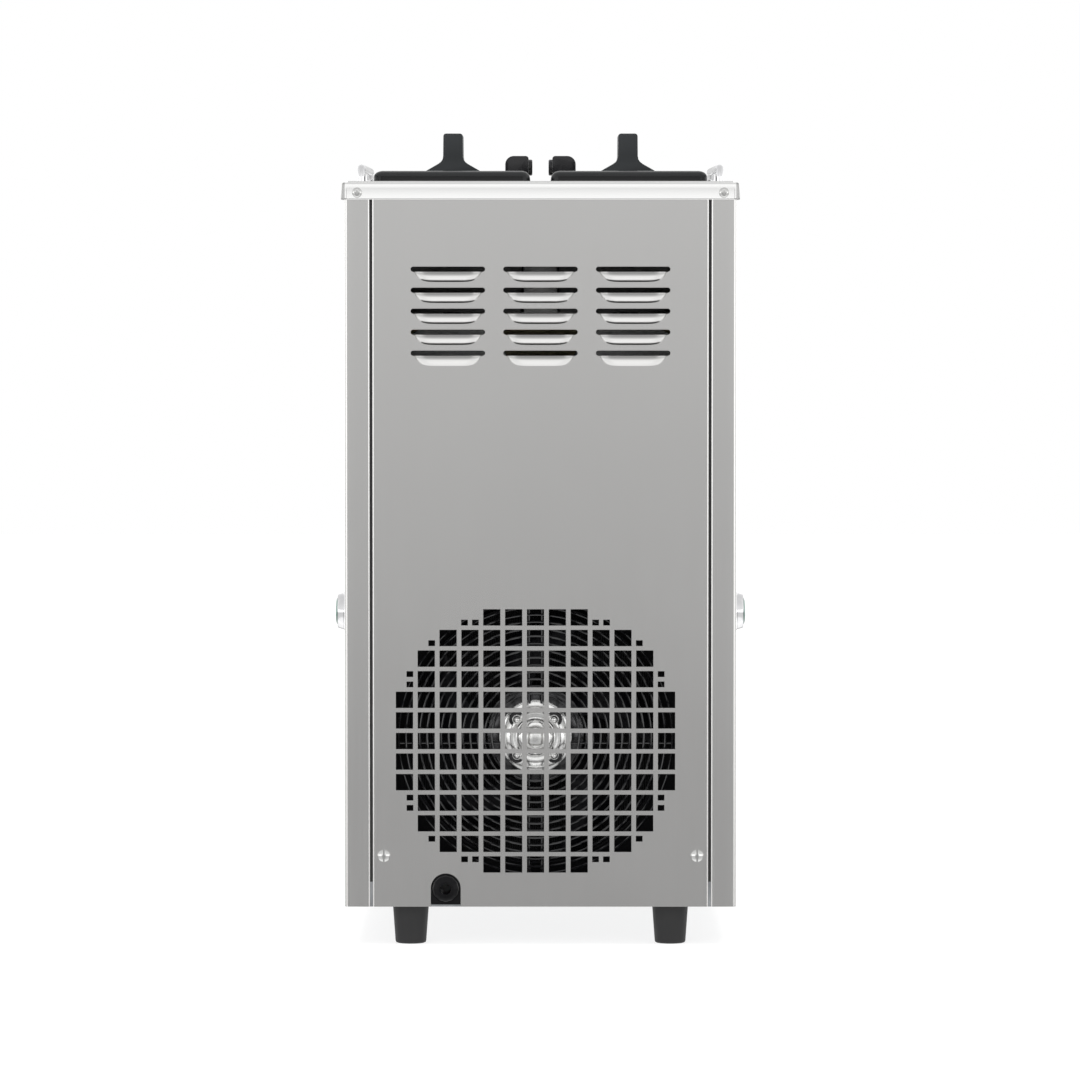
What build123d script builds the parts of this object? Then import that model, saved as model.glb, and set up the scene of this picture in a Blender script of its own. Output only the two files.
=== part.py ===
"""Countertop soft serve machine with two hoppers, two freezing cylinders and three draw levers.

Millimetres, +Z up, the operator's side towards -Y, so left is -X and right is +X.
The origin is on the floor, at the middle of the whole machine's footprint.
"""
from build123d import *
import math
import os

# ---------------------------------------------------------------- driving dimensions
CASE_W = 392.0          # casing over the side panels
CASE_D = 500.0          # casing, front panel to rear panel
CASE_H = 725.0          # casing, base to deck
FOOT_H = 39.0
FRONT_REACH = 150.0     # drip tray ahead of the casing
REAR_REACH = 8.0        # cable gland behind the casing
SHEET = 1.2             # stainless panels
FRAME_SHEET = 2.0       # posts, base and shelf

HALF_W = CASE_W / 2
FRONT_HALF = HALF_W - 20.0   # half width of the front panel, between the side flanges
Y_REAR = (CASE_D + FRONT_REACH + REAR_REACH) / 2 - REAR_REACH
Y_FRONT = Y_REAR - CASE_D
Z_BASE = FOOT_H
Z_DECK = FOOT_H + CASE_H
SIDES = {"left": -1, "right": 1}

# deck, hoppers and lids
DECK_SHEET = 1.5
LIP_H = 17.0            # the deck's folded-down edge
LIP_OUT = 3.3           # how far it stands outside the casing
LID_X = 89.0            # centre of each hopper from the machine's middle
LID_W, LID_L, LID_H = 157.0, 290.0, 12.0
LID_WALL = 2.5
LID_Y = Y_REAR - 173.0  # centre of the lids
HOPPER_W, HOPPER_L = 144.0, 277.0
HOPPER_CORNER = 4.0
HOPPER_RIM = 8.0        # upstand above the deck
HOPPER_FLOOR = 634.0
SPOUT_Y = 36.0          # feed spout between hopper and cylinder
HANDLE_NECK, HANDLE_BASE, HANDLE_L = 20.0, 56.0, 90.0
HANDLE_TOP = 815.0

# rear panel
REAR_W = 336.8
SEAM = 2.1              # open seam between rear panel and side flange
FLANGE_HEM = 10.8       # folded-in edge at that seam
LOUVRE_W, LOUVRE_H = 74.4, 5.2
LOUVRE_COLS, LOUVRE_ROWS = 3, 5
LOUVRE_PITCH_X, LOUVRE_PITCH_Z = 92.5, 20.95
LOUVRE_TOP = 677.6      # centre of the top row of slots
HOOD_TOP_W, HOOD_FOOT_W, HOOD_H, HOOD_OUT = 67.0, 50.0, 9.8, 5.0
GRILLE_X, GRILLE_Z = 5.0, 205.5
GRILLE_CELLS = 13
GRILLE_PITCH_X, GRILLE_PITCH_Z = 21.87, 20.66
GRILLE_HOLE_X, GRILLE_HOLE_Z = 17.2, 16.4
QUARTER_X, QUARTER_Z = 6.7, 5.7
WHOLE_REACH, QUARTER_REACH = 7.1, 6.78   # outline of the grille, in cells
GLAND_X, GLAND_Z = 95.0, 57.4
GLAND_NOTCH_R = 15.0
GLAND_BORE_R = 5.5

# refrigeration and fan
FAN_X, FAN_Z = 5.0, 208.0
FAN_R = 122.0
FAN_HUB_R = 50.0
FAN_MOTOR_R = 36.0
SHROUD_R = 129.0
GUARD_R = 138.0
CONDENSER_Y = (198.0, 240.0)
COMPRESSOR_X, COMPRESSOR_Y, COMPRESSOR_R = -84.0, -62.0, 76.0

# freezing cylinders, beaters and drive
SHELF_Z = 372.0
CYL_X, CYL_Z = 92.0, 560.0
CYL_R, CYL_BORE = 54.0, 50.0
CYL_BACK = 61.0         # rear wall of the cylinders
FOAM_Z = 500.0          # underside of the foam round them
SHAFT_R = 12.0
RUNNING = 0.05          # radial clearance of shafts and pistons
MOTOR_Z, MOTOR_R = 440.0, 58.0
MOTOR_PULLEY_R, GEARBOX_PULLEY_R = 30.0, 60.0
BELT_Y = {"left": 158.0, "right": 172.0}   # one belt plane for each gearbox
BELT_W, BELT_T = 9.0, 4.0

# dispensing door
DOOR_W, DOOR_T = 350.0, 53.0
DOOR_Z = (485.0, 635.0)
FLANGE_T = 4.0          # welded plate that the door closes on
PISTON_Y, PISTON_R = Y_FRONT - 47.0, 14.0
VALVES = {"left": -CYL_X, "centre": 0.0, "right": CYL_X}
LEVER_REACH = 34.0      # lever pivot to piston
PIVOT_Y, PIVOT_Z = PISTON_Y - LEVER_REACH, 652.0
PIN_R = 4.0
INLET_Z, OUTLET_Z = 526.0, 498.0   # each passage, at the cylinder and at the piston
STUD_X, STUD_Z = 150.0, (515.0, 605.0)

# fittings at the front and the sides
TRAY_W, TRAY_Z, TRAY_H = 300.0, 258.0, 30.0
FASCIA_W, FASCIA_Z, FASCIA_T = 330.0, (652.0, 744.0), 8.0
CONTROL_Z = 706.0
KEY_X = {"chill": 78.0, "wash": 106.0, "stop": 134.0}
KEY_R = 8.0
ROCKER_X = -118.0
ROCKER_REST = 8.0       # degrees the rocker lies over at rest
SIDE_KEY_Y, SIDE_KEY_Z, SIDE_KEY_R = Y_REAR - 72.0, 332.0, 14.3
RAIL_X, RAIL_R = 179.3, 4.0
RAIL_Y = (Y_REAR - 370.0, Y_REAR - 22.0)
RAIL_TOP = 782.5
AIR_X, AIR_Y = 24.7, Y_REAR - 346.0
FOOT_X, FOOT_Y = 130.5, (Y_FRONT + 38.0, Y_REAR - 30.0)


# ---------------------------------------------------------------- small helpers
def block(x, y, z):
    """A box between three pairs of coordinates."""
    size = [hi - lo for lo, hi in (x, y, z)]
    middle = [(hi + lo) / 2 for lo, hi in (x, y, z)]
    return Pos(*middle) * Box(*size)


def mirrored(x, side):
    """A pair of X coordinates on the named side, lowest first."""
    return tuple(sorted(side * v for v in x))


def bar_x(x, y, z, r):
    """A round bar along X between the pair x."""
    return Pos((x[0] + x[1]) / 2, y, z) * Rot(0, 90, 0) * Cylinder(r, x[1] - x[0])


def bar_y(x, y, z, r):
    """A round bar along Y between the pair y."""
    return Pos(x, (y[0] + y[1]) / 2, z) * Rot(90, 0, 0) * Cylinder(r, y[1] - y[0])


def bar_z(x, y, z, r):
    """A round bar along Z between the pair z."""
    return Pos(x, y, (z[0] + z[1]) / 2) * Cylinder(r, z[1] - z[0])


def cone_z(x, y, z, r_low, r_high):
    """A cone along Z between the pair z."""
    return Pos(x, y, (z[0] + z[1]) / 2) * Cone(r_low, r_high, z[1] - z[0])


def cone_x(x, y, z, r_low, r_high):
    """A cone along X between the pair x, r_low at the first coordinate."""
    return Pos((x[0] + x[1]) / 2, y, z) * Rot(0, 90, 0) * Cone(r_low, r_high, x[1] - x[0])


def bar_between(start, end, r):
    """A round bar from one point to another."""
    run = Vector(*end) - Vector(*start)
    return extrude(Plane(origin=start, z_dir=run) * Circle(r), amount=run.length)


def tube_along(points, radius, r):
    """A round tube along straight runs joined by bends of one radius."""
    path = FilletPolyline(*points, radius=radius)
    start = Plane(origin=path @ 0, z_dir=path % 0)
    return sweep(start * Circle(r), path=path)


def slot_prism(width, height, depth):
    """A round-ended slot cutter in the XZ plane, centred on the origin."""
    return extrude(Plane.XZ * SlotOverall(width, height), amount=depth / 2, both=True)


# ---------------------------------------------------------------- casing
def louvre():
    """One louvre on a panel whose outer face is the plane Y = 0: (hood, what is cut away)."""
    top, foot = -LOUVRE_H / 2, -LOUVRE_H / 2 - HOOD_H

    def wedge(inset, back, lift):
        """Pyramid from the hood's free edge down to its foot, a sheet thinner for the inside."""
        upper = Pos(0, (HOOD_OUT - inset + back) / 2, top + lift) * Rectangle(
            HOOD_TOP_W - 2 * inset, HOOD_OUT - inset - back)
        lower = Pos(0, (0.2 - inset + back) / 2, foot + inset) * Rectangle(
            HOOD_FOOT_W - 2 * inset, 0.2 - inset - back)
        return loft([lower.face(), upper.face()])

    hood = wedge(0.0, -SHEET, 0.0)
    inside = wedge(1.0, -SHEET - 1.0, 0.0)
    slot = slot_prism(LOUVRE_W, LOUVRE_H, 4 * SHEET)
    return hood, [inside, slot]


def louvred(panel, places, turn=0.0):
    """The panel with louvres at these places; turn swings their outward side about Z."""
    hood, cuts = louvre()
    hoods = [Pos(*p) * Rot(0, 0, turn) * hood for p in places]
    holes = [Pos(*p) * Rot(0, 0, turn) * c for p in places for c in cuts]
    return panel + hoods - holes


def grille_holes():
    """Square holes inside a round outline, with quarter holes where a whole one won't fit."""
    half = GRILLE_CELLS // 2
    reach_x = GRILLE_HOLE_X / GRILLE_PITCH_X / 2
    reach_z = GRILLE_HOLE_Z / GRILLE_PITCH_Z / 2
    whole = Box(GRILLE_HOLE_X, 4 * SHEET, GRILLE_HOLE_Z)
    quarter = Box(QUARTER_X, 4 * SHEET, QUARTER_Z)
    step_x, step_z = (GRILLE_HOLE_X - QUARTER_X) / 2, (GRILLE_HOLE_Z - QUARTER_Z) / 2
    holes = []
    for i in range(-half, half + 1):
        for j in range(-half, half + 1):
            x, z = GRILLE_X + i * GRILLE_PITCH_X, GRILLE_Z + j * GRILLE_PITCH_Z
            if math.hypot(abs(i) + reach_x, abs(j) + reach_z) < WHOLE_REACH:
                holes.append(Pos(x, Y_REAR, z) * whole)
                continue
            for si in (-1, 1):
                for sj in (-1, 1):
                    if math.hypot(i + si / 4, j + sj / 4) < QUARTER_REACH:
                        holes.append(Pos(x + si * step_x, Y_REAR, z + sj * step_z) * quarter)
    return holes


def rear_panel():
    """Louvred sheet with the fan grille and the notch for the cable gland."""
    half = REAR_W / 2
    sheet = block((-half, half), (Y_REAR - SHEET, Y_REAR), (Z_BASE, Z_DECK - 4))
    hems = [block(mirrored((half - SHEET, half), s), (Y_REAR - SHEET - FLANGE_HEM, Y_REAR - SHEET),
                  (Z_BASE + 27, Z_DECK - LIP_H)) for s in SIDES.values()]
    places = [((c - (LOUVRE_COLS - 1) / 2) * LOUVRE_PITCH_X, Y_REAR, LOUVRE_TOP - r * LOUVRE_PITCH_Z)
              for c in range(LOUVRE_COLS) for r in range(LOUVRE_ROWS)]
    panel = louvred(sheet, places) + hems - grille_holes()
    panel -= bar_y(GLAND_X, (Y_REAR - 5, Y_REAR + 5), GLAND_Z, GLAND_NOTCH_R)
    panel -= block((GLAND_X - GLAND_NOTCH_R, GLAND_X + GLAND_NOTCH_R), (Y_REAR - 5, Y_REAR + 5),
                   (Z_BASE - 1, GLAND_Z))
    screws = [bar_y(s * 157, (Y_REAR - 5, Y_REAR + 5), 90.3, 3) for s in SIDES.values()]
    return panel - screws


def side_panel(side):
    """Side sheet with flanges that wrap round the rear and the front, intake louvres and key hole."""
    rear_edge = REAR_W / 2 + SEAM
    outer = mirrored((HALF_W - SHEET, HALF_W), side)
    panel = block(outer, (Y_FRONT, Y_REAR), (Z_BASE, Z_DECK - DECK_SHEET))
    panel += block(mirrored((rear_edge, HALF_W), side), (Y_REAR - SHEET, Y_REAR),
                   (Z_BASE, Z_DECK - DECK_SHEET))
    panel += block(mirrored((rear_edge, rear_edge + SHEET), side),
                   (Y_REAR - SHEET - FLANGE_HEM, Y_REAR - SHEET), (Z_BASE + 27, Z_DECK - LIP_H))
    panel += block(mirrored((FRONT_HALF + 0.6, HALF_W), side), (Y_FRONT, Y_FRONT + SHEET),
                   (Z_BASE, Z_DECK - DECK_SHEET))
    places = [(side * HALF_W, y, 126 + r * 24) for y in (-90, 0, 90) for r in range(8)]
    panel = louvred(panel, places, turn=-90 * side)
    return panel - bar_x(mirrored((HALF_W - 5, HALF_W + 5), side), SIDE_KEY_Y, SIDE_KEY_Z, 16)


def front_panel():
    """Front sheet with the opening for the cylinders and two welded runners for the drip tray."""
    sheet = block((-FRONT_HALF, FRONT_HALF), (Y_FRONT, Y_FRONT + SHEET), (Z_BASE, Z_DECK - 4))
    sheet -= block((-160, 160), (Y_FRONT - 5, Y_FRONT + 5), (494, 626))
    vents = [Pos(x, Y_FRONT + SHEET / 2, z) * slot_prism(70, 5, 4 * SHEET)
             for x in (-88, 0, 88) for z in (90, 106, 122, 138)]
    sheet -= vents
    for s in SIDES.values():
        ledge = mirrored((TRAY_W / 2 - 14, TRAY_W / 2 + 3), s)
        fence = mirrored((TRAY_W / 2 + 1, TRAY_W / 2 + 3), s)
        sheet += block(ledge, (Y_FRONT - 118, Y_FRONT), (TRAY_Z - 3, TRAY_Z - 0.5))
        sheet += block(fence, (Y_FRONT - 118, Y_FRONT), (TRAY_Z - 3, TRAY_Z + 16))
    return sheet


def base_tray():
    """Folded pan that carries the refrigeration and the feet."""
    half = HALF_W - SHEET
    y = (Y_FRONT + SHEET, Y_REAR - SHEET)
    pan = block((-half, half), y, (Z_BASE, Z_BASE + 25))
    pan -= block((-half + FRAME_SHEET, half - FRAME_SHEET), (y[0] + FRAME_SHEET, y[1] - FRAME_SHEET),
                 (Z_BASE + FRAME_SHEET, Z_BASE + 30))
    pan -= block((GLAND_X - 17, GLAND_X + 17), (Y_REAR - 10, Y_REAR), (Z_BASE + FRAME_SHEET, Z_BASE + 30))
    return pan - [bar_z(s * FOOT_X, y, (Z_BASE - 1, Z_BASE + 5), 5) for s in SIDES.values() for y in FOOT_Y]


def corner_posts():
    """Four folded angles from the base to the deck; the rear ones back the open seams."""
    posts = []
    z = (Z_BASE + 25, Z_DECK - DECK_SHEET)
    for s in SIDES.values():
        inner = HALF_W - SHEET
        web = mirrored((inner - FRAME_SHEET, inner), s)
        for y, wide, run in ((Y_REAR - 15, 45, -1), (Y_FRONT + 6, 26, 1)):
            face = block(mirrored((inner - wide, inner), s), (y, y + FRAME_SHEET), z)
            leg = (y - 30, y) if run < 0 else (y + FRAME_SHEET, y + 30)
            posts.append(face + block(web, leg, z))
    return posts


def shelf():
    """Folded shelf under the motor and gearboxes, with a slot for the pipes."""
    plate = block((-190, 190), (Y_FRONT + 12, Y_REAR - 20), (SHELF_Z - FRAME_SHEET, SHELF_Z))
    plate += block((-190, 190), (Y_FRONT + 12, Y_FRONT + 14), (SHELF_Z - 20, SHELF_Z))
    plate += block((-190, 190), (Y_REAR - 22, Y_REAR - 20), (SHELF_Z - 18, SHELF_Z))
    for s in SIDES.values():
        plate -= block(mirrored((180, 200), s), (Y_REAR - 47, Y_REAR), (SHELF_Z - 30, SHELF_Z + 5))
    plate -= block((146, 180), (-100, 0), (SHELF_Z - 5, SHELF_Z + 5))
    return plate


def feet():
    """Four tapered rubber feet with a screwed stud each."""
    found = []
    for s in SIDES.values():
        for y in FOOT_Y:
            foot = cone_z(s * FOOT_X, y, (0, FOOT_H), 15.4, 18.2)
            foot = fillet(foot.edges().filter_by(GeomType.CIRCLE).sort_by(Axis.Z)[0], 2)
            found.append(foot + bar_z(s * FOOT_X, y, (FOOT_H - 5, FOOT_H + 14), 4))
    return found


def case_screws():
    """Pan heads on the deck's lip and slotted truss heads on the rear panel."""
    found = []
    for s in SIDES.values():
        for y, out in ((Y_REAR + LIP_OUT, 1), (Y_FRONT - LIP_OUT, -1)):
            head = bar_y(s * 183, sorted((y, y + out * 2.6)), 754, 5)
            head -= block((s * 183 - 3, s * 183 + 3), sorted((y + out * 1.6, y + out * 3)), (753.4, 754.6))
            found.append(head)
        truss = Pos(s * 157, Y_REAR, 90.3) * Rot(-90, 0, 0) * Cylinder(
            6.5, 3.0, align=(Align.CENTER, Align.CENTER, Align.MIN))
        truss = fillet(truss.edges().sort_by(Axis.Y)[-1], 2.4)
        truss -= block((s * 157 - 0.7, s * 157 + 0.7), (Y_REAR + 1.6, Y_REAR + 4), (80, 100))
        found.append(truss + bar_y(s * 157, (Y_REAR - 8, Y_REAR), 90.3, 2.9))
    return found


# ---------------------------------------------------------------- deck, hoppers, lids
def deck():
    """Stainless top with a folded lip, two hopper openings, and holes for the rails and air caps."""
    reach = HALF_W + LIP_OUT
    y = (Y_FRONT - LIP_OUT, Y_REAR + LIP_OUT)
    top = block((-reach, reach), y, (Z_DECK - LIP_H, Z_DECK))
    top = fillet(top.edges().filter_by(Axis.Z), 4)
    top = fillet(top.edges().sort_by(Axis.Z)[-8:], 1.2)
    top -= block((-reach + DECK_SHEET, reach - DECK_SHEET), (y[0] + DECK_SHEET, y[1] - DECK_SHEET),
                 (Z_DECK - LIP_H - 1, Z_DECK - DECK_SHEET))
    for s in SIDES.values():
        top -= block(mirrored((LID_X - HOPPER_W / 2, LID_X + HOPPER_W / 2), s),
                     (LID_Y - HOPPER_L / 2, LID_Y + HOPPER_L / 2), (Z_DECK - 5, Z_DECK + 5))
        top -= bar_z(s * AIR_X, AIR_Y, (Z_DECK - 5, Z_DECK + 5), 8.3)
        top -= [bar_z(s * RAIL_X, ry, (Z_DECK - 5, Z_DECK + 5), RAIL_R) for ry in RAIL_Y]
    return top


def hoppers():
    """Two deep stainless wells, each with an upstand round its mouth and a spout to its cylinder."""
    found = []
    for s in SIDES.values():
        x = (s * LID_X - HOPPER_W / 2, s * LID_X + HOPPER_W / 2)
        y = (LID_Y - HOPPER_L / 2, LID_Y + HOPPER_L / 2)
        well = block(x, y, (HOPPER_FLOOR, Z_DECK + HOPPER_RIM))
        well = fillet(well.edges().filter_by(Axis.Z), HOPPER_CORNER)
        inner = block((x[0] + SHEET, x[1] - SHEET), (y[0] + SHEET, y[1] - SHEET),
                      (HOPPER_FLOOR + SHEET, Z_DECK + HOPPER_RIM + 5))
        inner = fillet(inner.edges().filter_by(Axis.Z), HOPPER_CORNER - SHEET)
        well += bar_z(s * CYL_X, SPOUT_Y, (612, HOPPER_FLOOR + 0.5), 11)
        found.append(well - inner - bar_z(s * CYL_X, SPOUT_Y, (600, 660), 9))
    return found


def hopper_lid(side):
    """Moulded lid: a shallow shell with rounded top edges that drops over the hopper's upstand."""
    x = (side * LID_X - LID_W / 2, side * LID_X + LID_W / 2)
    y = (LID_Y - LID_L / 2, LID_Y + LID_L / 2)
    lid = block(x, y, (Z_DECK, Z_DECK + LID_H))
    lid = fillet(lid.edges().filter_by(Axis.Z), 9)
    lid = fillet(lid.faces().sort_by(Axis.Z)[-1].edges(), 7)
    hollow = block((x[0] + LID_WALL, x[1] - LID_WALL), (y[0] + LID_WALL, y[1] - LID_WALL),
                   (Z_DECK - 1, Z_DECK + LID_H - LID_WALL))
    hollow = fillet(hollow.edges().filter_by(Axis.Z), 6.5)
    return lid - fillet(hollow.faces().sort_by(Axis.Z)[-1].edges(), 4.5)


def lid_handle(side):
    """Fin grip with a flared foot, screwed to the lid."""
    foot = Z_DECK + LID_H
    shoulder = foot + 13.0
    neck, base = HANDLE_NECK / 2, HANDLE_BASE / 2
    outline = Polyline((-base, foot), (-neck, shoulder), (-neck, HANDLE_TOP), (neck, HANDLE_TOP),
                       (neck, shoulder), (base, foot), close=True)
    grip = extrude(Plane.XZ * make_face(outline), amount=HANDLE_L / 2, both=True)
    shoulders = grip.edges().filter_by(Axis.Y).group_by(Axis.Z)[1]
    grip = fillet(shoulders, 5)
    grip = fillet(grip.edges().filter_by(Axis.Y).group_by(Axis.Z)[-1], 3)
    return Pos(side * LID_X, LID_Y, 0) * grip


def deck_rails():
    """A low bent-rod rail along each side of the deck, its legs through the sheet."""
    bar = RAIL_TOP - RAIL_R
    found = []
    for s in SIDES.values():
        points = [(s * RAIL_X, RAIL_Y[0], Z_DECK - 8), (s * RAIL_X, RAIL_Y[0], bar),
                  (s * RAIL_X, RAIL_Y[1], bar), (s * RAIL_X, RAIL_Y[1], Z_DECK - 8)]
        found.append(tube_along(points, 9.0, RAIL_R))
    return found


def air_cap(side):
    """Plug-in air inlet cap with a small regulating disc on its inner cheek."""
    x = (side * AIR_X - 12.3, side * AIR_X + 12.3)
    cap = block(x, (AIR_Y - 20, AIR_Y + 20), (Z_DECK + 0.3, 795))
    outer = cap.edges().filter_by(Axis.Y).group_by(Axis.Z)[-1].sort_by(Axis.X)
    cap = fillet(outer[-1 if side > 0 else 0], 8)
    cap = fillet(cap.faces().sort_by(Axis.Z)[-1].edges().filter_by(Axis.X), 3)
    disc = mirrored((AIR_X - 16.3, AIR_X - 12.3), side)
    cap += bar_x(disc, AIR_Y, 783, 8.5)
    return cap + bar_z(side * AIR_X, AIR_Y, (Z_DECK - 22, Z_DECK + 2), 8)


# ---------------------------------------------------------------- cable entry
def gland_plate():
    """Black bracket behind the notch that holds the cable gland."""
    plate = block((GLAND_X - 22, GLAND_X + 22), (Y_REAR - 5.2, Y_REAR - 3.2), (Z_BASE + 2, Z_BASE + 45))
    return plate - bar_y(GLAND_X, (Y_REAR - 10, Y_REAR), GLAND_Z, 10)


def cable_gland():
    """Gland body with its clamping nut; the bore takes the mains lead."""
    body = bar_y(GLAND_X, (Y_REAR - 24, Y_REAR - 3.2), GLAND_Z, 10)
    collar = bar_y(GLAND_X, (Y_REAR - 3.2, Y_REAR + 0.5), GLAND_Z, 14.2)
    lock_nut = Pos(GLAND_X, Y_REAR - 5.2, GLAND_Z) * Rot(90, 0, 0) * extrude(RegularPolygon(14, 6), 5)
    cap = bar_y(GLAND_X, (Y_REAR + 0.5, Y_REAR + REAR_REACH), GLAND_Z, 13)
    cap = fillet(cap.edges().sort_by(Axis.Y)[-1], 4)
    grooves = [Pos(GLAND_X, 0, GLAND_Z) * Rot(0, a, 0) * block((12.2, 15), (Y_REAR + 1, Y_REAR + 9), (-0.9, 0.9))
               for a in range(0, 360, 30)]
    bore = bar_y(GLAND_X, (Y_REAR - 30, Y_REAR + 10), GLAND_Z, GLAND_BORE_R)
    return body + collar + lock_nut + (cap - grooves) - bore


# ---------------------------------------------------------------- fan and refrigeration
def fan_shroud():
    """Plate behind the condenser with a short duct round the fan."""
    plate = block((FAN_X - 146, FAN_X + 146), (243, 245), (66, 350))
    duct = bar_y(FAN_X, (244, 262), FAN_Z, SHROUD_R + 2)
    return plate + duct - bar_y(FAN_X, (230, 270), FAN_Z, SHROUD_R)


def fan_guard():
    """Welded guard: concentric rings on radial bars, with arms bent forward to the shroud."""
    rings = []
    radii = [44 + k * 10.3 for k in range(10)]
    for r in radii:
        rings.append(bar_y(FAN_X, (301, 303), FAN_Z, r + 1) - bar_y(FAN_X, (300, 304), FAN_Z, r - 1))
    plate = bar_y(FAN_X, (300, 303), FAN_Z, FAN_MOTOR_R + 3) - bar_y(FAN_X, (299, 304), FAN_Z, 20)
    guard = plate + rings
    for a in range(0, 360, 45):
        spoke = block((FAN_MOTOR_R + 2, GUARD_R), (298.5, 301.5), (-1.3, 1.3))
        arm = block((GUARD_R - 3, GUARD_R), (245, 301.5), (-1.3, 1.3))
        guard += Pos(FAN_X, 0, FAN_Z) * Rot(0, a + 22.5, 0) * (spoke + arm)
    return guard


def fan_motor():
    """Finned aluminium fan motor bolted to the guard's centre plate."""
    body = bar_y(FAN_X, (274, 300), FAN_Z, FAN_MOTOR_R)
    body = fillet(body.edges().sort_by(Axis.Y)[0], 5)
    cap = bar_y(FAN_X, (300, 308), FAN_Z, 18)
    cap = fillet(cap.edges().sort_by(Axis.Y)[-1], 4)
    bolts = []
    for a in range(45, 360, 90):
        x = FAN_X + 26 * math.cos(math.radians(a))
        z = FAN_Z + 26 * math.sin(math.radians(a))
        bolts.append(bar_y(x, (303, 308), z, 4.2))
    return [body + cap - bar_y(FAN_X, (270, 284), FAN_Z, 5 + RUNNING), *bolts]


def fan_rotor():
    """Pressed hub on its shaft with five pitched blades."""
    hub = bar_y(FAN_X, (248, 272), FAN_Z, FAN_HUB_R)
    hub = fillet(hub.edges().sort_by(Axis.Y)[0], 6)
    rotor = hub + bar_y(FAN_X, (270, 283), FAN_Z, 5)
    limit = bar_y(FAN_X, (230, 290), FAN_Z, FAN_R)
    blades = []
    for k in range(5):
        blade = Pos(84, 0, 0) * Rot(28, 0, 0) * Box(88, 1.6, 46)
        blades.append(Pos(FAN_X, 259.5, FAN_Z) * Rot(0, 72 * k, 0) * blade & limit)
    return rotor + blades


def condenser():
    """Fin block between two end plates, with return bends outside them."""
    x = (FAN_X - 138, FAN_X + 138)
    y = CONDENSER_Y
    core = block(x, (y[0] + 2, y[1] - 2), (72, 346))
    plates = [block((e - 1, e + 1), y, (68, 350)) for e in x]
    found = core + plates
    for k in range(6):
        z = 105 + k * 41
        for e, s in zip(x, (-1, 1)):
            bend = Pos(e + s, sum(y) / 2, z) * Rot(90, 0, 0) * Torus(10, 4)
            found += bend & block(mirrored((abs(e + s), abs(e + s) + 20), s), y, (60, 360))
    return found


def compressor():
    """Hermetic compressor on its rubber-mounted foot plate."""
    x, y = COMPRESSOR_X, COMPRESSOR_Y
    shell = bar_z(x, y, (64, 250), COMPRESSOR_R)
    shell = fillet(shell.edges().filter_by(GeomType.CIRCLE), 34)
    hollow = bar_z(x, y, (86, 228), COMPRESSOR_R - 22)
    plate = block((x - 84, x + 84), (y - 62, y + 62), (54, 57))
    stand = bar_z(x, y, (56, 84), 46)
    box = block((x + 60, x + 92), (y - 24, y + 24), (120, 176))
    mounts = [bar_z(x + sx * 74, y + sy * 52, (Z_BASE + 2, 54), 10) for sx in (-1, 1) for sy in (-1, 1)]
    return shell + plate + stand + box + mounts - hollow


def copper_pipes():
    """Discharge, liquid and suction lines."""
    top = 250
    discharge = [(COMPRESSOR_X, COMPRESSOR_Y, top), (COMPRESSOR_X, COMPRESSOR_Y, 300),
                 (COMPRESSOR_X, 170, 300), (COMPRESSOR_X, 170, 330), (COMPRESSOR_X, CONDENSER_Y[0] + 2, 330)]
    liquid = [(100, CONDENSER_Y[0] + 2, 90), (100, 160, 90), (165, 160, 90), (165, -40, 90),
              (165, -40, 470), (110, -40, 470), (110, -40, FOAM_Z)]
    suction = [(COMPRESSOR_X + 34, COMPRESSOR_Y, top), (COMPRESSOR_X + 34, COMPRESSOR_Y, 330),
               (165, COMPRESSOR_Y, 330), (165, COMPRESSOR_Y, 474), (120, COMPRESSOR_Y, 474),
               (120, COMPRESSOR_Y, FOAM_Z)]
    return [tube_along(discharge, 12, 4), tube_along(liquid, 6, 3), tube_along(suction, 7, 5)]


# ---------------------------------------------------------------- cylinders and drive
def freezing_cylinders():
    """Weldment: two jacketed cylinders on one front flange, with inlet bosses and door studs."""
    face = (Y_FRONT - FLANGE_T, Y_FRONT)
    weldment = block((-172, 172), face, (DOOR_Z[0] + 3, DOOR_Z[1] - 3))
    for x in (-CYL_X, CYL_X):
        weldment += bar_y(x, (Y_FRONT, CYL_BACK), CYL_Z, CYL_R)
        weldment += bar_y(x, (CYL_BACK - 1, CYL_BACK + 14), CYL_Z, 20)
        weldment += bar_z(x, SPOUT_Y, (CYL_Z + 40, 626), 15)
    for x in (-CYL_X, CYL_X):
        weldment -= bar_y(x, (face[0] - 1, CYL_BACK - 4), CYL_Z, CYL_BORE)
        weldment -= bar_y(x, (0, CYL_BACK + 20), CYL_Z, SHAFT_R)
        weldment -= bar_z(x, SPOUT_Y, (CYL_Z, 630), 11.2)
    studs = [bar_y(s * STUD_X, (face[0] - 78, face[0]), z, 4) for s in SIDES.values() for z in STUD_Z]
    return weldment + studs


def insulation_block():
    """Foam round both cylinders, between the front panel and their rear walls."""
    foam = block((-158, 158), (Y_FRONT + SHEET, 20), (FOAM_Z, 622))
    return foam - [bar_y(x, (Y_FRONT - 5, 30), CYL_Z, CYL_R) for x in (-CYL_X, CYL_X)]


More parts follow.
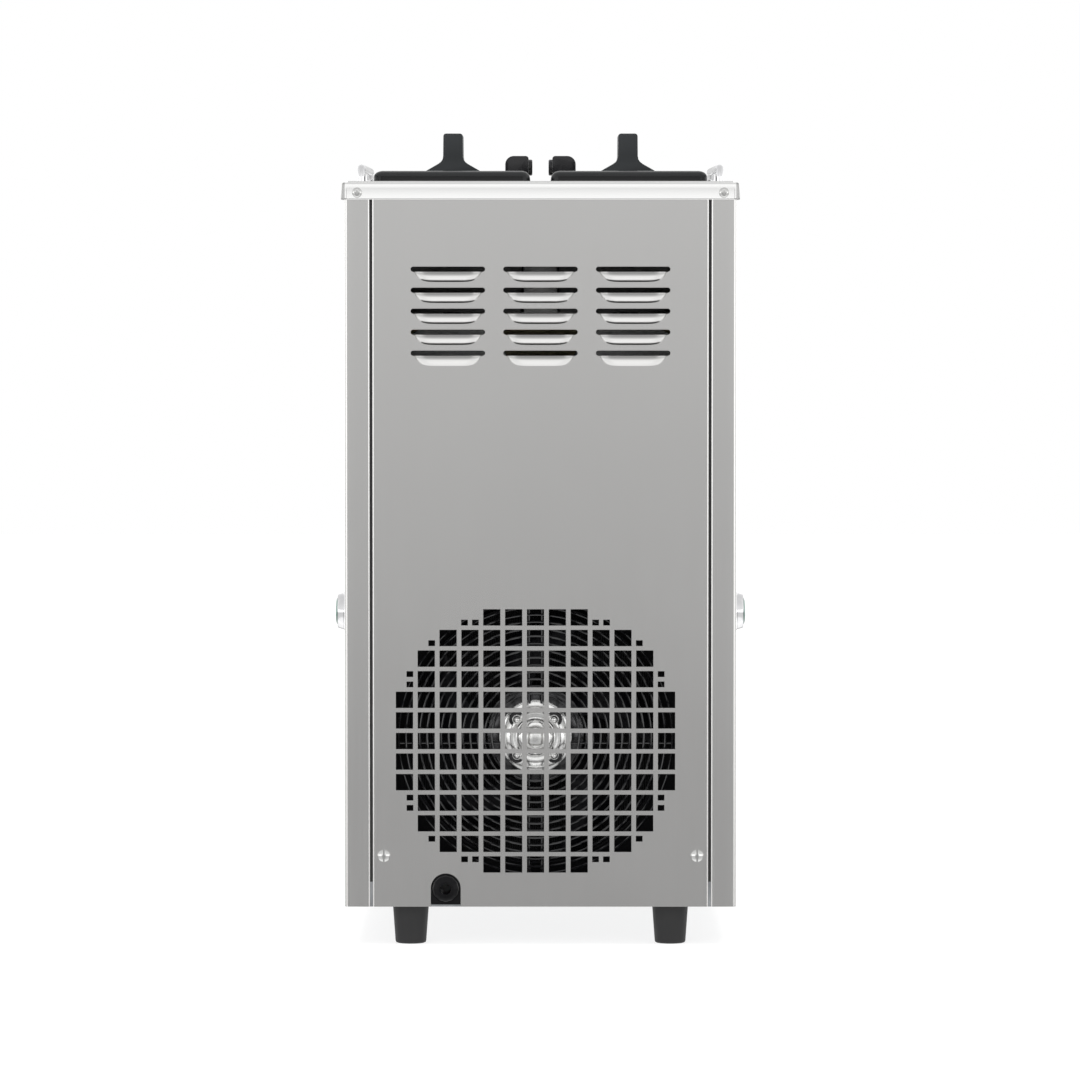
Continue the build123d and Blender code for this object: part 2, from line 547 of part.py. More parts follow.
def beater(side):
    """Dasher: drive shaft, two helical ribbons on arms, and a spider at each end."""
    x = side * CYL_X
    front, back = Y_FRONT + 4, CYL_BACK - 8
    length = back - front
    made = bar_y(x, (front, CYL_BACK - 4), CYL_Z, 8)
    made += bar_y(x, (CYL_BACK - 6, CYL_BACK + 36), CYL_Z, SHAFT_R - RUNNING)
    for half_turn in (0, 180):
        strip = Pos(42, 0, 0) * Rectangle(12, 5)
        ribbon = Solid.extrude_linear_with_rotation(
            strip.face(), center=(0, 0, 0), normal=(0, 0, length), angle=320)
        made += Pos(x, back, CYL_Z) * Rot(90, 0, 0) * Rot(0, 0, half_turn) * ribbon
    for k in range(5):
        share = k / 4
        y = back - 3 - share * (length - 6)
        turn = 320 * (back - y) / length
        made += Pos(x, y, CYL_Z) * Rot(0, turn, 0) * Box(80, 5, 7)
    return made


def gearboxes():
    """Two cast reduction gearboxes on their stools."""
    found = []
    for s in SIDES.values():
        x = s * CYL_X
        case = block((x - 34, x + 34), (CYL_BACK + 16, CYL_BACK + 76), (516, 604))
        case = fillet(case.edges().filter_by(Axis.Y), 10)
        case += bar_y(x, (CYL_BACK + 76, CYL_BACK + 84), CYL_Z, 22)
        case += block((x - 26, x + 26), (CYL_BACK + 24, CYL_BACK + 68), (SHELF_Z, 518))
        case -= bar_y(x, (0, CYL_BACK + 40), CYL_Z, SHAFT_R + 0.1)
        found.append(case - bar_y(x, (CYL_BACK + 60, CYL_BACK + 100), CYL_Z, 8 + RUNNING))
    return found


def drive_motor():
    """Foot-mounted motor on the shelf."""
    body = bar_y(0, (-44, 136), MOTOR_Z, MOTOR_R)
    body = fillet(body.edges().filter_by(GeomType.CIRCLE), 8)
    foot = block((-30, 30), (-20, 110), (SHELF_Z, MOTOR_Z - 40))
    return body + foot - bar_y(0, (110, 140), MOTOR_Z, 9 + RUNNING)


def grooved_pulley(x, z, radius, belts, shaft_r, shaft_y):
    """Flanged flat-belt pulley on its shaft, with a running face for each belt plane."""
    lo, hi = min(belts) - 7, max(belts) + 7
    wheel = bar_y(x, (lo, hi), z, radius + 4)
    for y in belts:
        half = BELT_W / 2 + 0.5
        ring = bar_y(x, (y - half, y + half), z, radius + 10) - bar_y(x, (y - half - 1, y + half + 1), z, radius)
        wheel -= ring
    return wheel + bar_y(x, (shaft_y, hi), z, shaft_r)


def gearbox_pulley(side):
    """Pulley on a gearbox's input shaft."""
    name = "left" if side < 0 else "right"
    return grooved_pulley(side * CYL_X, CYL_Z, GEARBOX_PULLEY_R, [BELT_Y[name]], 8, CYL_BACK + 62)


def motor_pulley():
    """Double pulley on the motor shaft, one face for each belt."""
    return grooved_pulley(0, MOTOR_Z, MOTOR_PULLEY_R, list(BELT_Y.values()), 9, 112)


def drive_belts():
    """Two ribbed flat belts, each round the motor pulley and one gearbox pulley."""
    found = []
    for name, s in SIDES.items():
        rings = []
        for gap in (0.3 + BELT_T, 0.3):
            edges = [Edge.make_circle(MOTOR_PULLEY_R + gap).moved(Location((0, MOTOR_Z))),
                     Edge.make_circle(GEARBOX_PULLEY_R + gap).moved(Location((s * CYL_X, CYL_Z)))]
            rings.append(make_hull(ShapeList(edges)))
        loop = rings[0] - rings[1]
        found.append(Pos(0, BELT_Y[name], 0) * extrude(Plane.XZ * loop, amount=BELT_W / 2, both=True))
    return found


# ---------------------------------------------------------------- dispensing door
def freezer_door():
    """Moulded door with three valve columns, passages from the cylinders and four pivot lugs."""
    back = Y_FRONT - FLANGE_T
    door = block((-DOOR_W / 2, DOOR_W / 2), (back - DOOR_T, back), DOOR_Z)
    door = fillet(door.edges().filter_by(Axis.Y), 14)
    for x in VALVES.values():
        door += bar_z(x, PISTON_Y, DOOR_Z, 20)
        door += bar_z(x, PISTON_Y, (DOOR_Z[0] - 12, DOOR_Z[0]), 16)
    for x in (-118, -46, 46, 118):
        lug = block((x - 5, x + 5), (PIVOT_Y - 9, PISTON_Y + 8), (DOOR_Z[1] - 40, PIVOT_Z))
        door += lug + bar_x((x - 5, x + 5), PIVOT_Y, PIVOT_Z, 9)
    for x in VALVES.values():
        door -= bar_z(x, PISTON_Y, (400, 700), PISTON_R)
    slope = (INLET_Z - OUTLET_Z) / (back - PISTON_Y)
    cross_y, cross_z = back - 14, INLET_Z - 14 * slope
    for x in (-CYL_X, CYL_X):
        door -= bar_between((x, back + 2, INLET_Z + 2 * slope), (x, PISTON_Y, OUTLET_Z), 7)
    door -= bar_between((0, cross_y, cross_z), (0, PISTON_Y, OUTLET_Z), 7)
    door -= bar_x((-CYL_X, CYL_X), cross_y, cross_z, 6)
    door -= [ring_y(x, (back - 3, back + 1), CYL_Z, 59, 55) for x in (-CYL_X, CYL_X)]
    door -= bar_x((-130, 130), PIVOT_Y, PIVOT_Z, PIN_R)
    return door - [bar_y(s * STUD_X, (back - DOOR_T - 1, back + 1), z, 4.3) for s in SIDES.values() for z in STUD_Z]


def ring_y(x, y, z, outer, inner):
    """A flat ring about an axis along Y."""
    return bar_y(x, y, z, outer) - bar_y(x, (y[0] - 1, y[1] + 1), z, inner)


def door_seals():
    """Two seals in the door's grooves, one round each cylinder mouth."""
    back = Y_FRONT - FLANGE_T
    return [ring_y(x, (back - 3, back), CYL_Z, 59, 55) for x in (-CYL_X, CYL_X)]


def hand_nuts():
    """Four lobed hand nuts on the door studs."""
    knob = bar_y(0, (-20, -3), 0, 17)
    knob = fillet(knob.edges().filter_by(GeomType.CIRCLE).sort_by(Axis.Y)[0], 4)
    knob += bar_y(0, (-3, 0), 0, 11)
    knob -= bar_y(0, (-30, 1), 0, 4)
    for a in range(18, 360, 72):
        knob -= bar_y(20 * math.cos(math.radians(a)), (-25, -2.9), 20 * math.sin(math.radians(a)), 7)
    seat = Y_FRONT - FLANGE_T - DOOR_T
    return [Pos(s * STUD_X, seat, z) * knob for s in SIDES.values() for z in STUD_Z]


def lever_pin():
    """One pivot pin through the door's lugs and the three levers."""
    return bar_x((-126, 126), PIVOT_Y, PIVOT_Z, PIN_R)


def star_nozzles():
    """Screw-on caps with a star outlet under each valve column."""
    outline = []
    for k in range(12):
        r = 9.0 if k % 2 == 0 else 5.0
        outline.append((r * math.cos(math.radians(30 * k)), r * math.sin(math.radians(30 * k))))
    star = extrude(make_face(Polyline(*outline, close=True)), amount=10)
    found = []
    for x in VALVES.values():
        cap = bar_z(x, PISTON_Y, (463, DOOR_Z[0]), 21)
        cap = fillet(cap.edges().filter_by(GeomType.CIRCLE).sort_by(Axis.Z)[0], 3)
        cap -= bar_z(x, PISTON_Y, (467, 490), 16)
        found.append(cap - Pos(x, PISTON_Y, 460) * star)
    return found


def draw_piston(x):
    """Valve piston with two seal grooves below and a slot for the lever's tip above."""
    piston = bar_z(x, PISTON_Y, (479, 674), PISTON_R - RUNNING)
    piston -= block((x - 20, x + 20), (PISTON_Y - 20, PISTON_Y + 7), (PIVOT_Z - 6.5, PIVOT_Z + 6.5))
    piston -= block((x - 20, x + 20), (PISTON_Y - 20, PISTON_Y - 7), (PIVOT_Z - 12.5, PIVOT_Z))
    for z in (482, 600):
        groove = bar_z(x, PISTON_Y, (z, z + 3), 20) - bar_z(x, PISTON_Y, (z - 1, z + 4), PISTON_R - 2)
        piston -= groove
    return piston


def draw_lever(x):
    """Lever with a rounded tip in the piston's slot, a steel arm and a black grip."""
    lever = bar_x((x - 12, x + 12), PIVOT_Y, PIVOT_Z, 9)
    lever += block((x - 5, x + 5), (PIVOT_Y, PISTON_Y), (PIVOT_Z - 4, PIVOT_Z + 4))
    lever += bar_x((x - 5, x + 5), PISTON_Y, PIVOT_Z, 5)
    arm = Pos(0, 0, 41) * Cylinder(4.5, 78)
    grip = Pos(0, 0, 78) * Cone(8, 10.5, 36)
    grip = fillet(grip.edges().filter_by(GeomType.CIRCLE), 4)
    lever += Pos(x, PIVOT_Y, PIVOT_Z) * Rot(35, 0, 0) * (arm + grip)
    return lever - bar_x((x - 13, x + 13), PIVOT_Y, PIVOT_Z, PIN_R + RUNNING)


# ---------------------------------------------------------------- front fittings
def drip_tray():
    """Open tray on the front panel's runners."""
    x = (-TRAY_W / 2, TRAY_W / 2)
    y = (Y_FRONT - FRONT_REACH, Y_FRONT - 1)
    tray = block(x, y, (TRAY_Z, TRAY_Z + TRAY_H))
    tray = fillet(tray.edges().filter_by(Axis.Z).group_by(Axis.Y)[0], 16)
    hollow = block((x[0] + 2, x[1] - 2), (y[0] + 2, y[1] - 2), (TRAY_Z + 2, TRAY_Z + TRAY_H + 1))
    hollow = fillet(hollow.edges().filter_by(Axis.Z).group_by(Axis.Y)[0], 14)
    ledge = block((x[0] + 2, x[0] + 6), (y[0] + 30, y[1] - 10), (TRAY_Z + 20, TRAY_Z + 23))
    return tray - hollow + ledge + Pos(TRAY_W - 8, 0, 0) * ledge


def drip_grid():
    """Slotted plate that lies in the tray's mouth."""
    x = (-TRAY_W / 2 + 2.6, TRAY_W / 2 - 2.6)
    y = (Y_FRONT - FRONT_REACH + 2.6, Y_FRONT - 3.6)
    grid = block(x, y, (TRAY_Z + 23, TRAY_Z + 26))
    grid = fillet(grid.edges().filter_by(Axis.Z).group_by(Axis.Y)[0], 13)
    slots = [Pos(x0, (y[0] + y[1]) / 2 + dy, TRAY_Z + 24.5) * extrude(
        Rot(0, 0, 90) * SlotOverall(52, 8), amount=4, both=True)
        for x0 in range(-126, 127, 18) for dy in (-31, 31)]
    return grid - slots


def control_fascia():
    """Moulded control surround under the deck's front lip."""
    y = (Y_FRONT - FASCIA_T, Y_FRONT)
    fascia = block((-FASCIA_W / 2, FASCIA_W / 2), y, FASCIA_Z)
    fascia = fillet(fascia.edges().filter_by(Axis.Y), 12)
    fascia = fillet(fascia.faces().sort_by(Axis.Y)[0].edges(), 2)
    fascia -= block((-40, 40), (y[0] - 1, y[0] + 2), (CONTROL_Z - 19, CONTROL_Z + 19))
    fascia -= [bar_y(x, (y[0] - 1, y[1] + 1), CONTROL_Z, KEY_R + 0.3) for x in KEY_X.values()]
    return fascia - block((ROCKER_X - 10, ROCKER_X + 10), (y[0] - 1, y[1] - 1), (CONTROL_Z - 15, CONTROL_Z + 15))


def display_window():
    """Smoked window over the display."""
    y = Y_FRONT - FASCIA_T
    return block((-40, 40), (y, y + 2), (CONTROL_Z - 19, CONTROL_Z + 19))


def key(x):
    """Round push key in the fascia."""
    y = (Y_FRONT - FASCIA_T - 3, Y_FRONT - 2.2)
    cap = bar_y(x, y, CONTROL_Z, KEY_R)
    return fillet(cap.edges().filter_by(GeomType.CIRCLE).sort_by(Axis.Y)[0], 1.2)


def power_rocker():
    """Rocker of the main switch, resting with its lower half pressed in."""
    outline = Polyline((-3.2, -12), (-5.2, -11), (-2.6, 0), (-5.2, 11), (-3.2, 12), (2.6, 4), (2.6, -4), close=True)
    rocker = extrude(Plane.YZ * make_face(outline), amount=8.5, both=True)
    rocker += bar_x((-9.6, 9.6), 0, 0, 1.2)
    return Pos(ROCKER_X, Y_FRONT - 5.2, CONTROL_Z) * Rot(ROCKER_REST, 0, 0) * rocker


def electrical_box():
    """Closed box for the controller, contactor and terminals."""
    outer = block((62, 152), (-160, -60), (66, 250))
    outer = fillet(outer.edges().filter_by(Axis.Z), 4)
    return outer - block((64, 150), (-158, -62), (68, 248))


def side_bezels():
    """Chromed bezels round the side keys, screwed through the side panels."""
    found = []
    for s in SIDES.values():
        flange = bar_x(mirrored((HALF_W, HALF_W + 2.6), s), SIDE_KEY_Y, SIDE_KEY_Z, 20)
        ends = (HALF_W + 2.6, HALF_W + 8.6)
        r_in, r_out = (18.0, 16.2) if s > 0 else (16.2, 18.0)
        cone = cone_x(mirrored(ends, s), SIDE_KEY_Y, SIDE_KEY_Z, r_in, r_out)
        sleeve = bar_x(mirrored((HALF_W - 14, HALF_W), s), SIDE_KEY_Y, SIDE_KEY_Z, 15.9)
        bore = bar_x(mirrored((HALF_W - 12, HALF_W + 20), s), SIDE_KEY_Y, SIDE_KEY_Z, SIDE_KEY_R + 0.3)
        found.append(flange + cone + sleeve - bore)
    return found


def side_key(side):
    """Domed green key in its bezel."""
    body = bar_x(mirrored((HALF_W - 6, HALF_W + 11), side), SIDE_KEY_Y, SIDE_KEY_Z, SIDE_KEY_R)
    rim = body.edges().filter_by(GeomType.CIRCLE).sort_by(Axis.X)[-1 if side > 0 else 0]
    return fillet(rim, 3.5)


# ---------------------------------------------------------------- the assembly
NODES = {
    "base_tray": base_tray(), "corner_posts": corner_posts(), "shelf": shelf(),
    "rear_panel": rear_panel(), "side_panel_left": side_panel(-1), "side_panel_right": side_panel(1),
    "front_panel": front_panel(), "deck": deck(), "hoppers": hoppers(), "deck_rails": deck_rails(),
    "case_screws": case_screws(), "feet": feet(), "gland_plate": gland_plate(),
    "cable_gland": cable_gland(), "fan_shroud": fan_shroud(), "fan_guard": fan_guard(),
    "fan_motor": fan_motor(), "fan_rotor": fan_rotor(), "condenser": condenser(),
    "compressor": compressor(), "copper_pipes": copper_pipes(),
    "freezing_cylinders": freezing_cylinders(), "insulation_block": insulation_block(),
    "gearboxes": gearboxes(), "drive_motor": drive_motor(), "drive_belts": drive_belts(),
    "motor_pulley": motor_pulley(), "freezer_door": freezer_door(), "door_seals": door_seals(),
    "hand_nuts": hand_nuts(), "lever_pin": lever_pin(), "star_nozzles": star_nozzles(),
    "drip_tray": drip_tray(), "drip_grid": drip_grid(), "control_fascia": control_fascia(),
    "display_window": display_window(), "power_rocker": power_rocker(),
    "electrical_box": electrical_box(), "side_bezels": side_bezels(),
}
for name, s in SIDES.items():
    NODES[f"lid_{name}"] = hopper_lid(s)
    NODES[f"lid_handle_{name}"] = lid_handle(s)
    NODES[f"air_cap_{name}"] = air_cap(s)
    NODES[f"beater_{name}"] = beater(s)
    NODES[f"gearbox_pulley_{name}"] = gearbox_pulley(s)
    NODES[f"side_key_{name}"] = side_key(s)
for name, x in VALVES.items():
    NODES[f"draw_piston_{name}"] = draw_piston(x)
    NODES[f"draw_lever_{name}"] = draw_lever(x)
for name, x in KEY_X.items():
    NODES[f"key_{name}"] = key(x)

os.makedirs("parts", exist_ok=True)
for name, shape in NODES.items():
    if isinstance(shape, list):
        shape = Compound(children=[Solid(solid.wrapped) for part in shape for solid in part.solids()])
    export_step(shape, f"parts/{name}.step")
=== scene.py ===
"""Soft serve machine: the looks of its casing, lids, fan, dispensing door and controls."""

import math

import bmesh
import bpy
from mathutils import Matrix, Vector


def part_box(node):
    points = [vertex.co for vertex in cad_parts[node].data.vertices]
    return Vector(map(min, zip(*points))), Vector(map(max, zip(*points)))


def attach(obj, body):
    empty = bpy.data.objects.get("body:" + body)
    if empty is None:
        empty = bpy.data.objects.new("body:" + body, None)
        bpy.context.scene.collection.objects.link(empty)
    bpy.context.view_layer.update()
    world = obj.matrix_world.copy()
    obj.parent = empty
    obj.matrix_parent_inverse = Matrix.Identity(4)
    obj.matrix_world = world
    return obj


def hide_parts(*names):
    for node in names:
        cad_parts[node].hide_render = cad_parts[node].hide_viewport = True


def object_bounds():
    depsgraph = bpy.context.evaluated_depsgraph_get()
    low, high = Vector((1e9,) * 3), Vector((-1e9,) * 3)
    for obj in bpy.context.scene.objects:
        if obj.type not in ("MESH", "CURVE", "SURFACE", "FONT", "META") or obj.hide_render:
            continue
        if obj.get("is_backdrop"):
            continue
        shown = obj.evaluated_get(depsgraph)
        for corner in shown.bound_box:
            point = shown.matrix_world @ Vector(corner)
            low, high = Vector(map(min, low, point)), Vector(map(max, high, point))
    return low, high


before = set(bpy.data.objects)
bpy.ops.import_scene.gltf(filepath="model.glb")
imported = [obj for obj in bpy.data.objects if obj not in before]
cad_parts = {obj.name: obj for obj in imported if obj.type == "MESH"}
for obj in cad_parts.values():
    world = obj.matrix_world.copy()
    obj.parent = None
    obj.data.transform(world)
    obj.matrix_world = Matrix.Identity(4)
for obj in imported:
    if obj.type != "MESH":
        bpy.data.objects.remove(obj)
cad_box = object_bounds()
scene = bpy.context.scene

# ---------------------------------------------------------------- camera
# A long lens stands well back from the rear, a little under the deck's height, so the front feet
# and the deck's far edge stay hidden behind the casing.
REAR_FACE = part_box("side_panel_left")[1][1]
VIEW_WIDTH, STAND_BACK = 1.08, 6.5
eye = Vector((0.0005, REAR_FACE + STAND_BACK, 0.70))
aim = Vector((0.0005, REAR_FACE, 0.407))


def placed(name, data):
    """A new object in the scene."""
    made = bpy.data.objects.new(name, data)
    scene.collection.objects.link(made)
    return made


def facing(place, target):
    """The rotation that points a camera or a lamp from its place at a target."""
    return (Vector(target) - Vector(place)).to_track_quat("-Z", "Y").to_euler()


camera = placed("camera", bpy.data.cameras.new("camera"))
camera.location = eye
camera.rotation_euler = facing(eye, aim)
camera.data.sensor_width = 36
camera.data.lens = 36 * (aim - eye).length / VIEW_WIDTH
camera.data.clip_end = 100
scene.camera = camera
scene.view_settings.view_transform = "Standard"


# ---------------------------------------------------------------- studio
# White cyclorama: a pale floor under a bright overhead bank, with soft grey walls straight ahead of
# each side so that flat steel keeps a tone of its own between bright corners.
class Wire:
    """A node's output that can be written in sums."""

    def __init__(self, board, socket):
        self.board, self.socket = board, socket

    def _sum(self, operation, a, b):
        return self.board.node("ShaderNodeMath", {"operation": operation}, {0: a, 1: b})

    def __add__(self, other):
        return self._sum("ADD", self, other)

    def __sub__(self, other):
        return self._sum("SUBTRACT", self, other)

    def __rsub__(self, other):
        return self._sum("SUBTRACT", other, self)

    def __mul__(self, other):
        return self._sum("MULTIPLY", self, other)

    def __truediv__(self, other):
        return self._sum("DIVIDE", self, other)

    def __pow__(self, other):
        return self._sum("POWER", self, other)

    def __lt__(self, other):
        return self._sum("LESS_THAN", self, other)

    def __abs__(self):
        return self._sum("ABSOLUTE", self, 0.0)

    __radd__, __rmul__ = __add__, __mul__


class Board:
    """A node tree, and the one way to put a node on it."""

    def __init__(self, tree):
        self.tree = tree
        tree.nodes.clear()

    def node(self, kind, settings=None, sockets=None, out=0):
        made = self.tree.nodes.new(kind)
        for name, value in (settings or {}).items():
            if name == "stops":
                ramp = made.color_ramp
                while len(ramp.elements) < len(value):
                    ramp.elements.new(0.5)
                for stop, (place, grey) in zip(ramp.elements, value):
                    stop.position = place
                    stop.color = (grey, grey, grey, 1)
            elif name == "interpolation":
                made.color_ramp.interpolation = value
            else:
                setattr(made, name, value)
        for name, value in (sockets or {}).items():
            for item in value if isinstance(value, list) else [value]:
                if isinstance(item, Wire):
                    self.tree.links.new(item.socket, made.inputs[name])
                else:
                    made.inputs[name].default_value = item
        return Wire(self, made.outputs[out]) if len(made.outputs) else None


world = bpy.data.worlds.new("studio")
world.use_nodes = True
scene.world = world
sky = Board(world.node_tree)
split = sky.node("ShaderNodeSeparateXYZ", sockets={
    0: sky.node("ShaderNodeTexCoord", out="Generated")})
across, along, up = (Wire(sky, split.socket.node.outputs[k]) for k in range(3))
squareness = abs(along * along - across * across) / (along * along + across * across + 0.0001)


def ramp(stops, share):
    """Greys that ease from stop to stop."""
    return sky.node("ShaderNodeValToRGB", {"stops": stops, "interpolation": "EASE"}, {"Fac": share})


# greys from straight down (0) to straight up (1), ahead of the flat sides and out from the corners
AHEAD = [(0.0, 0.88), (0.14, 0.84), (0.24, 0.44), (0.38, 0.27), (0.452, 0.23), (0.500, 0.48),
         (0.535, 0.53), (0.575, 0.79), (0.75, 0.62), (1.0, 0.50)]
DIAGONAL = [(0.0, 0.66), (0.14, 0.62), (0.27, 0.42), (0.44, 0.40), (0.475, 1.0), (0.535, 1.0),
            (0.60, 0.50), (1.0, 0.40)]
AHEAD_POWER, DIAGONAL_POWER = 1.45, 1.75
corner = ramp([(0.80, 1.0), (0.93, 0.0)], squareness)
ahead, diagonal = ramp(AHEAD, up * 0.5 + 0.5), ramp(DIAGONAL, up * 0.5 + 0.5)
seen = sky.node("ShaderNodeLightPath", out="Is Camera Ray")
studio = ahead * AHEAD_POWER * (1 - corner) + corner * diagonal * DIAGONAL_POWER
sky.node("ShaderNodeOutputWorld", sockets={"Surface": sky.node(
    "ShaderNodeBackground", sockets={"Color": (1, 1, 1, 1), "Strength": seen + (1 - seen) * studio})})

FLOOR_HALF, FLOOR_LEVEL = 9, -0.0002
floor_mesh = bpy.data.meshes.new("floor")
floor_mesh.from_pydata([(x * FLOOR_HALF, y * FLOOR_HALF, FLOOR_LEVEL)
                        for x, y in ((-1, -1), (1, -1), (1, 1), (-1, 1))], [], [(0, 1, 2, 3)])
floor = placed("floor", floor_mesh)
floor.visible_glossy = False
paper = bpy.data.materials.new("floor_paper")
paper.use_nodes = True
for socket, value in (("Base Color", (0.26, 0.26, 0.26, 1)), ("Roughness", 0.9),
                      ("Emission Color", (1, 1, 1, 1)), ("Emission Strength", 0.80)):
    paper.node_tree.nodes["Principled BSDF"].inputs[socket].default_value = value
floor_mesh.materials.append(paper)
floor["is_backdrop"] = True

LAMPS = {"bank": (4.0, 230, (0, 0.6, 4.2)), "fill": (2.4, 60, (1.6, 4.6, 2.6))}
LIT_POINT = (0, 0, 0.3)
for name, (size, power, place) in LAMPS.items():
    lamp = bpy.data.lights.new(name, "AREA")
    lamp.size, lamp.energy = size, power
    holder = placed(name, lamp)
    holder.location = place
    holder.visible_glossy = False
    holder.rotation_euler = facing(place, LIT_POINT)


# ---------------------------------------------------------------- rear panel
# One stainless sheet, laser cut for the fan and pressed into louvres, its long edges folded inward.
# The ground grain runs up the sheet.
SHEET = 0.0012
GRAIN_UP = (1400, 1400, 14)


def blend(board, share, first, second):
    """A colour between two others."""
    return board.node("ShaderNodeMix", {"data_type": "RGBA"},
                      {0: share, 6: (*first, 1), 7: (*second, 1)}, out=2)


def noise(board, scale, stretch=(1, 1, 1), detail=3.0):
    """Noise over the object's own coordinates, in features to the metre."""
    place = board.node("ShaderNodeMapping", sockets={
        "Vector": board.node("ShaderNodeTexCoord", out="Object"), "Scale": stretch})
    return board.node("ShaderNodeTexNoise", sockets={"Vector": place, "Scale": scale, "Detail": detail})


def bump(board, height, strength, depth):
    """A normal from a height."""
    return board.node("ShaderNodeBump", sockets={"Height": height, "Strength": strength, "Distance": depth})


def surface(name, wiring, **fixed):
    """A principled material: wiring(board) gives the sockets that vary, fixed the ones that don't."""
    made = bpy.data.materials.new(name)
    made.use_nodes = True
    board = Board(made.node_tree)
    sockets = {key.replace("_", " "): value for key, value in fixed.items()}
    shader = board.node("ShaderNodeBsdfPrincipled", sockets={**sockets, **wiring(board)})
    board.node("ShaderNodeOutputMaterial", sockets={"Surface": shader})
    return made


def steel(name, light, dark, rough, grain):
    """Ground stainless: fine grain one way, with a faint clouding from wiping."""
    def wiring(board):
        fine, cloud = noise(board, 1, grain, 2), noise(board, 7)
        return {"Base Color": blend(board, fine * 0.5 + cloud * 0.5, dark, light),
                "Roughness": (fine - 0.5) * 0.05 + (cloud - 0.5) * 0.04 + rough,
                "Normal": bump(board, fine, 0.10, 0.00001)}
    return surface(name, wiring, Metallic=1.0)


panel_steel = steel("panel_steel", (0.715, 0.71, 0.70), (0.685, 0.68, 0.67), 0.19, GRAIN_UP)


def closed(points, faces, name):
    """A mesh from points and faces, with its faces turned outward."""
    mesh = bpy.data.meshes.new(name)
    mesh.from_pydata([tuple(p) for p in points], [], faces)
    shape = bmesh.new()
    shape.from_mesh(mesh)
    bmesh.ops.remove_doubles(shape, verts=shape.verts, dist=1e-6)
    bmesh.ops.recalc_face_normals(shape, faces=shape.faces)
    shape.to_mesh(mesh)
    shape.free()
    return mesh


def stacked(rings):
    """Points and faces of a solid through a stack of equal closed rings, capped at both ends."""
    n = len(rings[0])
    points = [p for ring in rings for p in ring]
    faces = [(k * n + i, k * n + (i + 1) % n, (k + 1) * n + (i + 1) % n, (k + 1) * n + i)
             for k in range(len(rings) - 1) for i in range(n)]
    faces += [tuple(range(n))[::-1], tuple(range((len(rings) - 1) * n, len(rings) * n))]
    return points, faces


def plain_copy(holder):
    """Turns an object's modifiers into a plain mesh, in place."""
    evaluated = holder.evaluated_get(bpy.context.evaluated_depsgraph_get())
    mesh = bpy.data.meshes.new_from_object(evaluated)
    holder.modifiers.clear()
    holder.data = mesh
    return holder


def fit(name, mesh, material, body, stands_for=(), bevel=0.0, steps=3, crease=38):
    """Hangs a finished mesh on its body, with its edges eased and its curves smooth."""
    holder = placed(name, mesh)
    if not mesh.materials:
        mesh.materials.append(material)
    if bevel:
        edge = holder.modifiers.new("edges", "BEVEL")
        edge.width, edge.segments, edge.limit_method = bevel, steps, "ANGLE"
        edge.angle_limit = math.radians(crease)
        edge.miter_outer = "MITER_ARC"
        plain_copy(holder)
    holder.data.shade_smooth()
    holder.data.set_sharp_from_angle(angle=math.radians(crease))
    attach(holder, body)
    if stands_for:
        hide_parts(*stands_for)
    return holder


def fold(centreline, low, high, thick, name, material, body):
    """A strip of sheet bent along a line seen from above, standing between two heights."""
    path = [Vector(p) for p in centreline]
    left, right = [], []
    for i, p in enumerate(path):
        run = (path[min(i + 1, len(path) - 1)] - path[max(i - 1, 0)]).normalized()
        side = Vector((-run.y, run.x)) * thick / 2
        left.append(p + side)
        right.append(p - side)
    loop = left + right[::-1]
    points = [(p.x, p.y, z) for z in (low, high) for p in loop]
    n = len(loop)
    half = len(path)
    faces = [(i, (i + 1) % n, n + (i + 1) % n, n + i) for i in range(n)]
    for base in (0, n):
        faces += [(base + i, base + i + 1, base + n - 2 - i, base + n - 1 - i) for i in range(half - 1)]
    return fit(name, closed(points, faces, name), material, body, crease=50)


def bend(centre, radius, start, end, steps=8):
    """Points round a bend, by angle in degrees."""
    turns = [math.radians(start + (end - start) * k / steps) for k in range(steps + 1)]
    return [(centre[0] + radius * math.cos(a), centre[1] + radius * math.sin(a)) for a in turns]


def loop_object(name, points):
    """An outline drawn as a ring of edges, for the sheet cutter."""
    mesh = bpy.data.meshes.new(name)
    count = len(points)
    mesh.from_pydata([(x, y, 0) for x, y in points], [(i, (i + 1) % count) for i in range(count)], [])
    return bpy.data.objects.new(name, mesh)


LOUVRE_LONG, LOUVRE_GAP = 0.0744, 0.0052
HOOD_LONG, HOOD_DEEP, HOOD_OUT = 0.0672, 0.0102, 0.0048


def hood_edge(x):
    """How far below its free edge the hood reaches, x from the middle."""
    share = min(abs(x) / (HOOD_LONG / 2), 1.0)
    return HOOD_DEEP * (1 - share ** 6) ** 0.8


def louvre_opening():
    """The slot with the mouth of its hood, as one outline."""
    r, half = LOUVRE_GAP / 2, (LOUVRE_LONG - LOUVRE_GAP) / 2
    points = bend((half, 0), r, -90, 90, 10) + bend((-half, 0), r, 90, 270, 10)
    inner = HOOD_LONG / 2 - 0.001
    steps = [-inner + 2 * inner * k / 24 for k in range(25)]
    points += [(x, -r - max(hood_edge(x) - 0.0012, 0.0001)) for x in steps]
    return loop_object("louvre_opening", points)


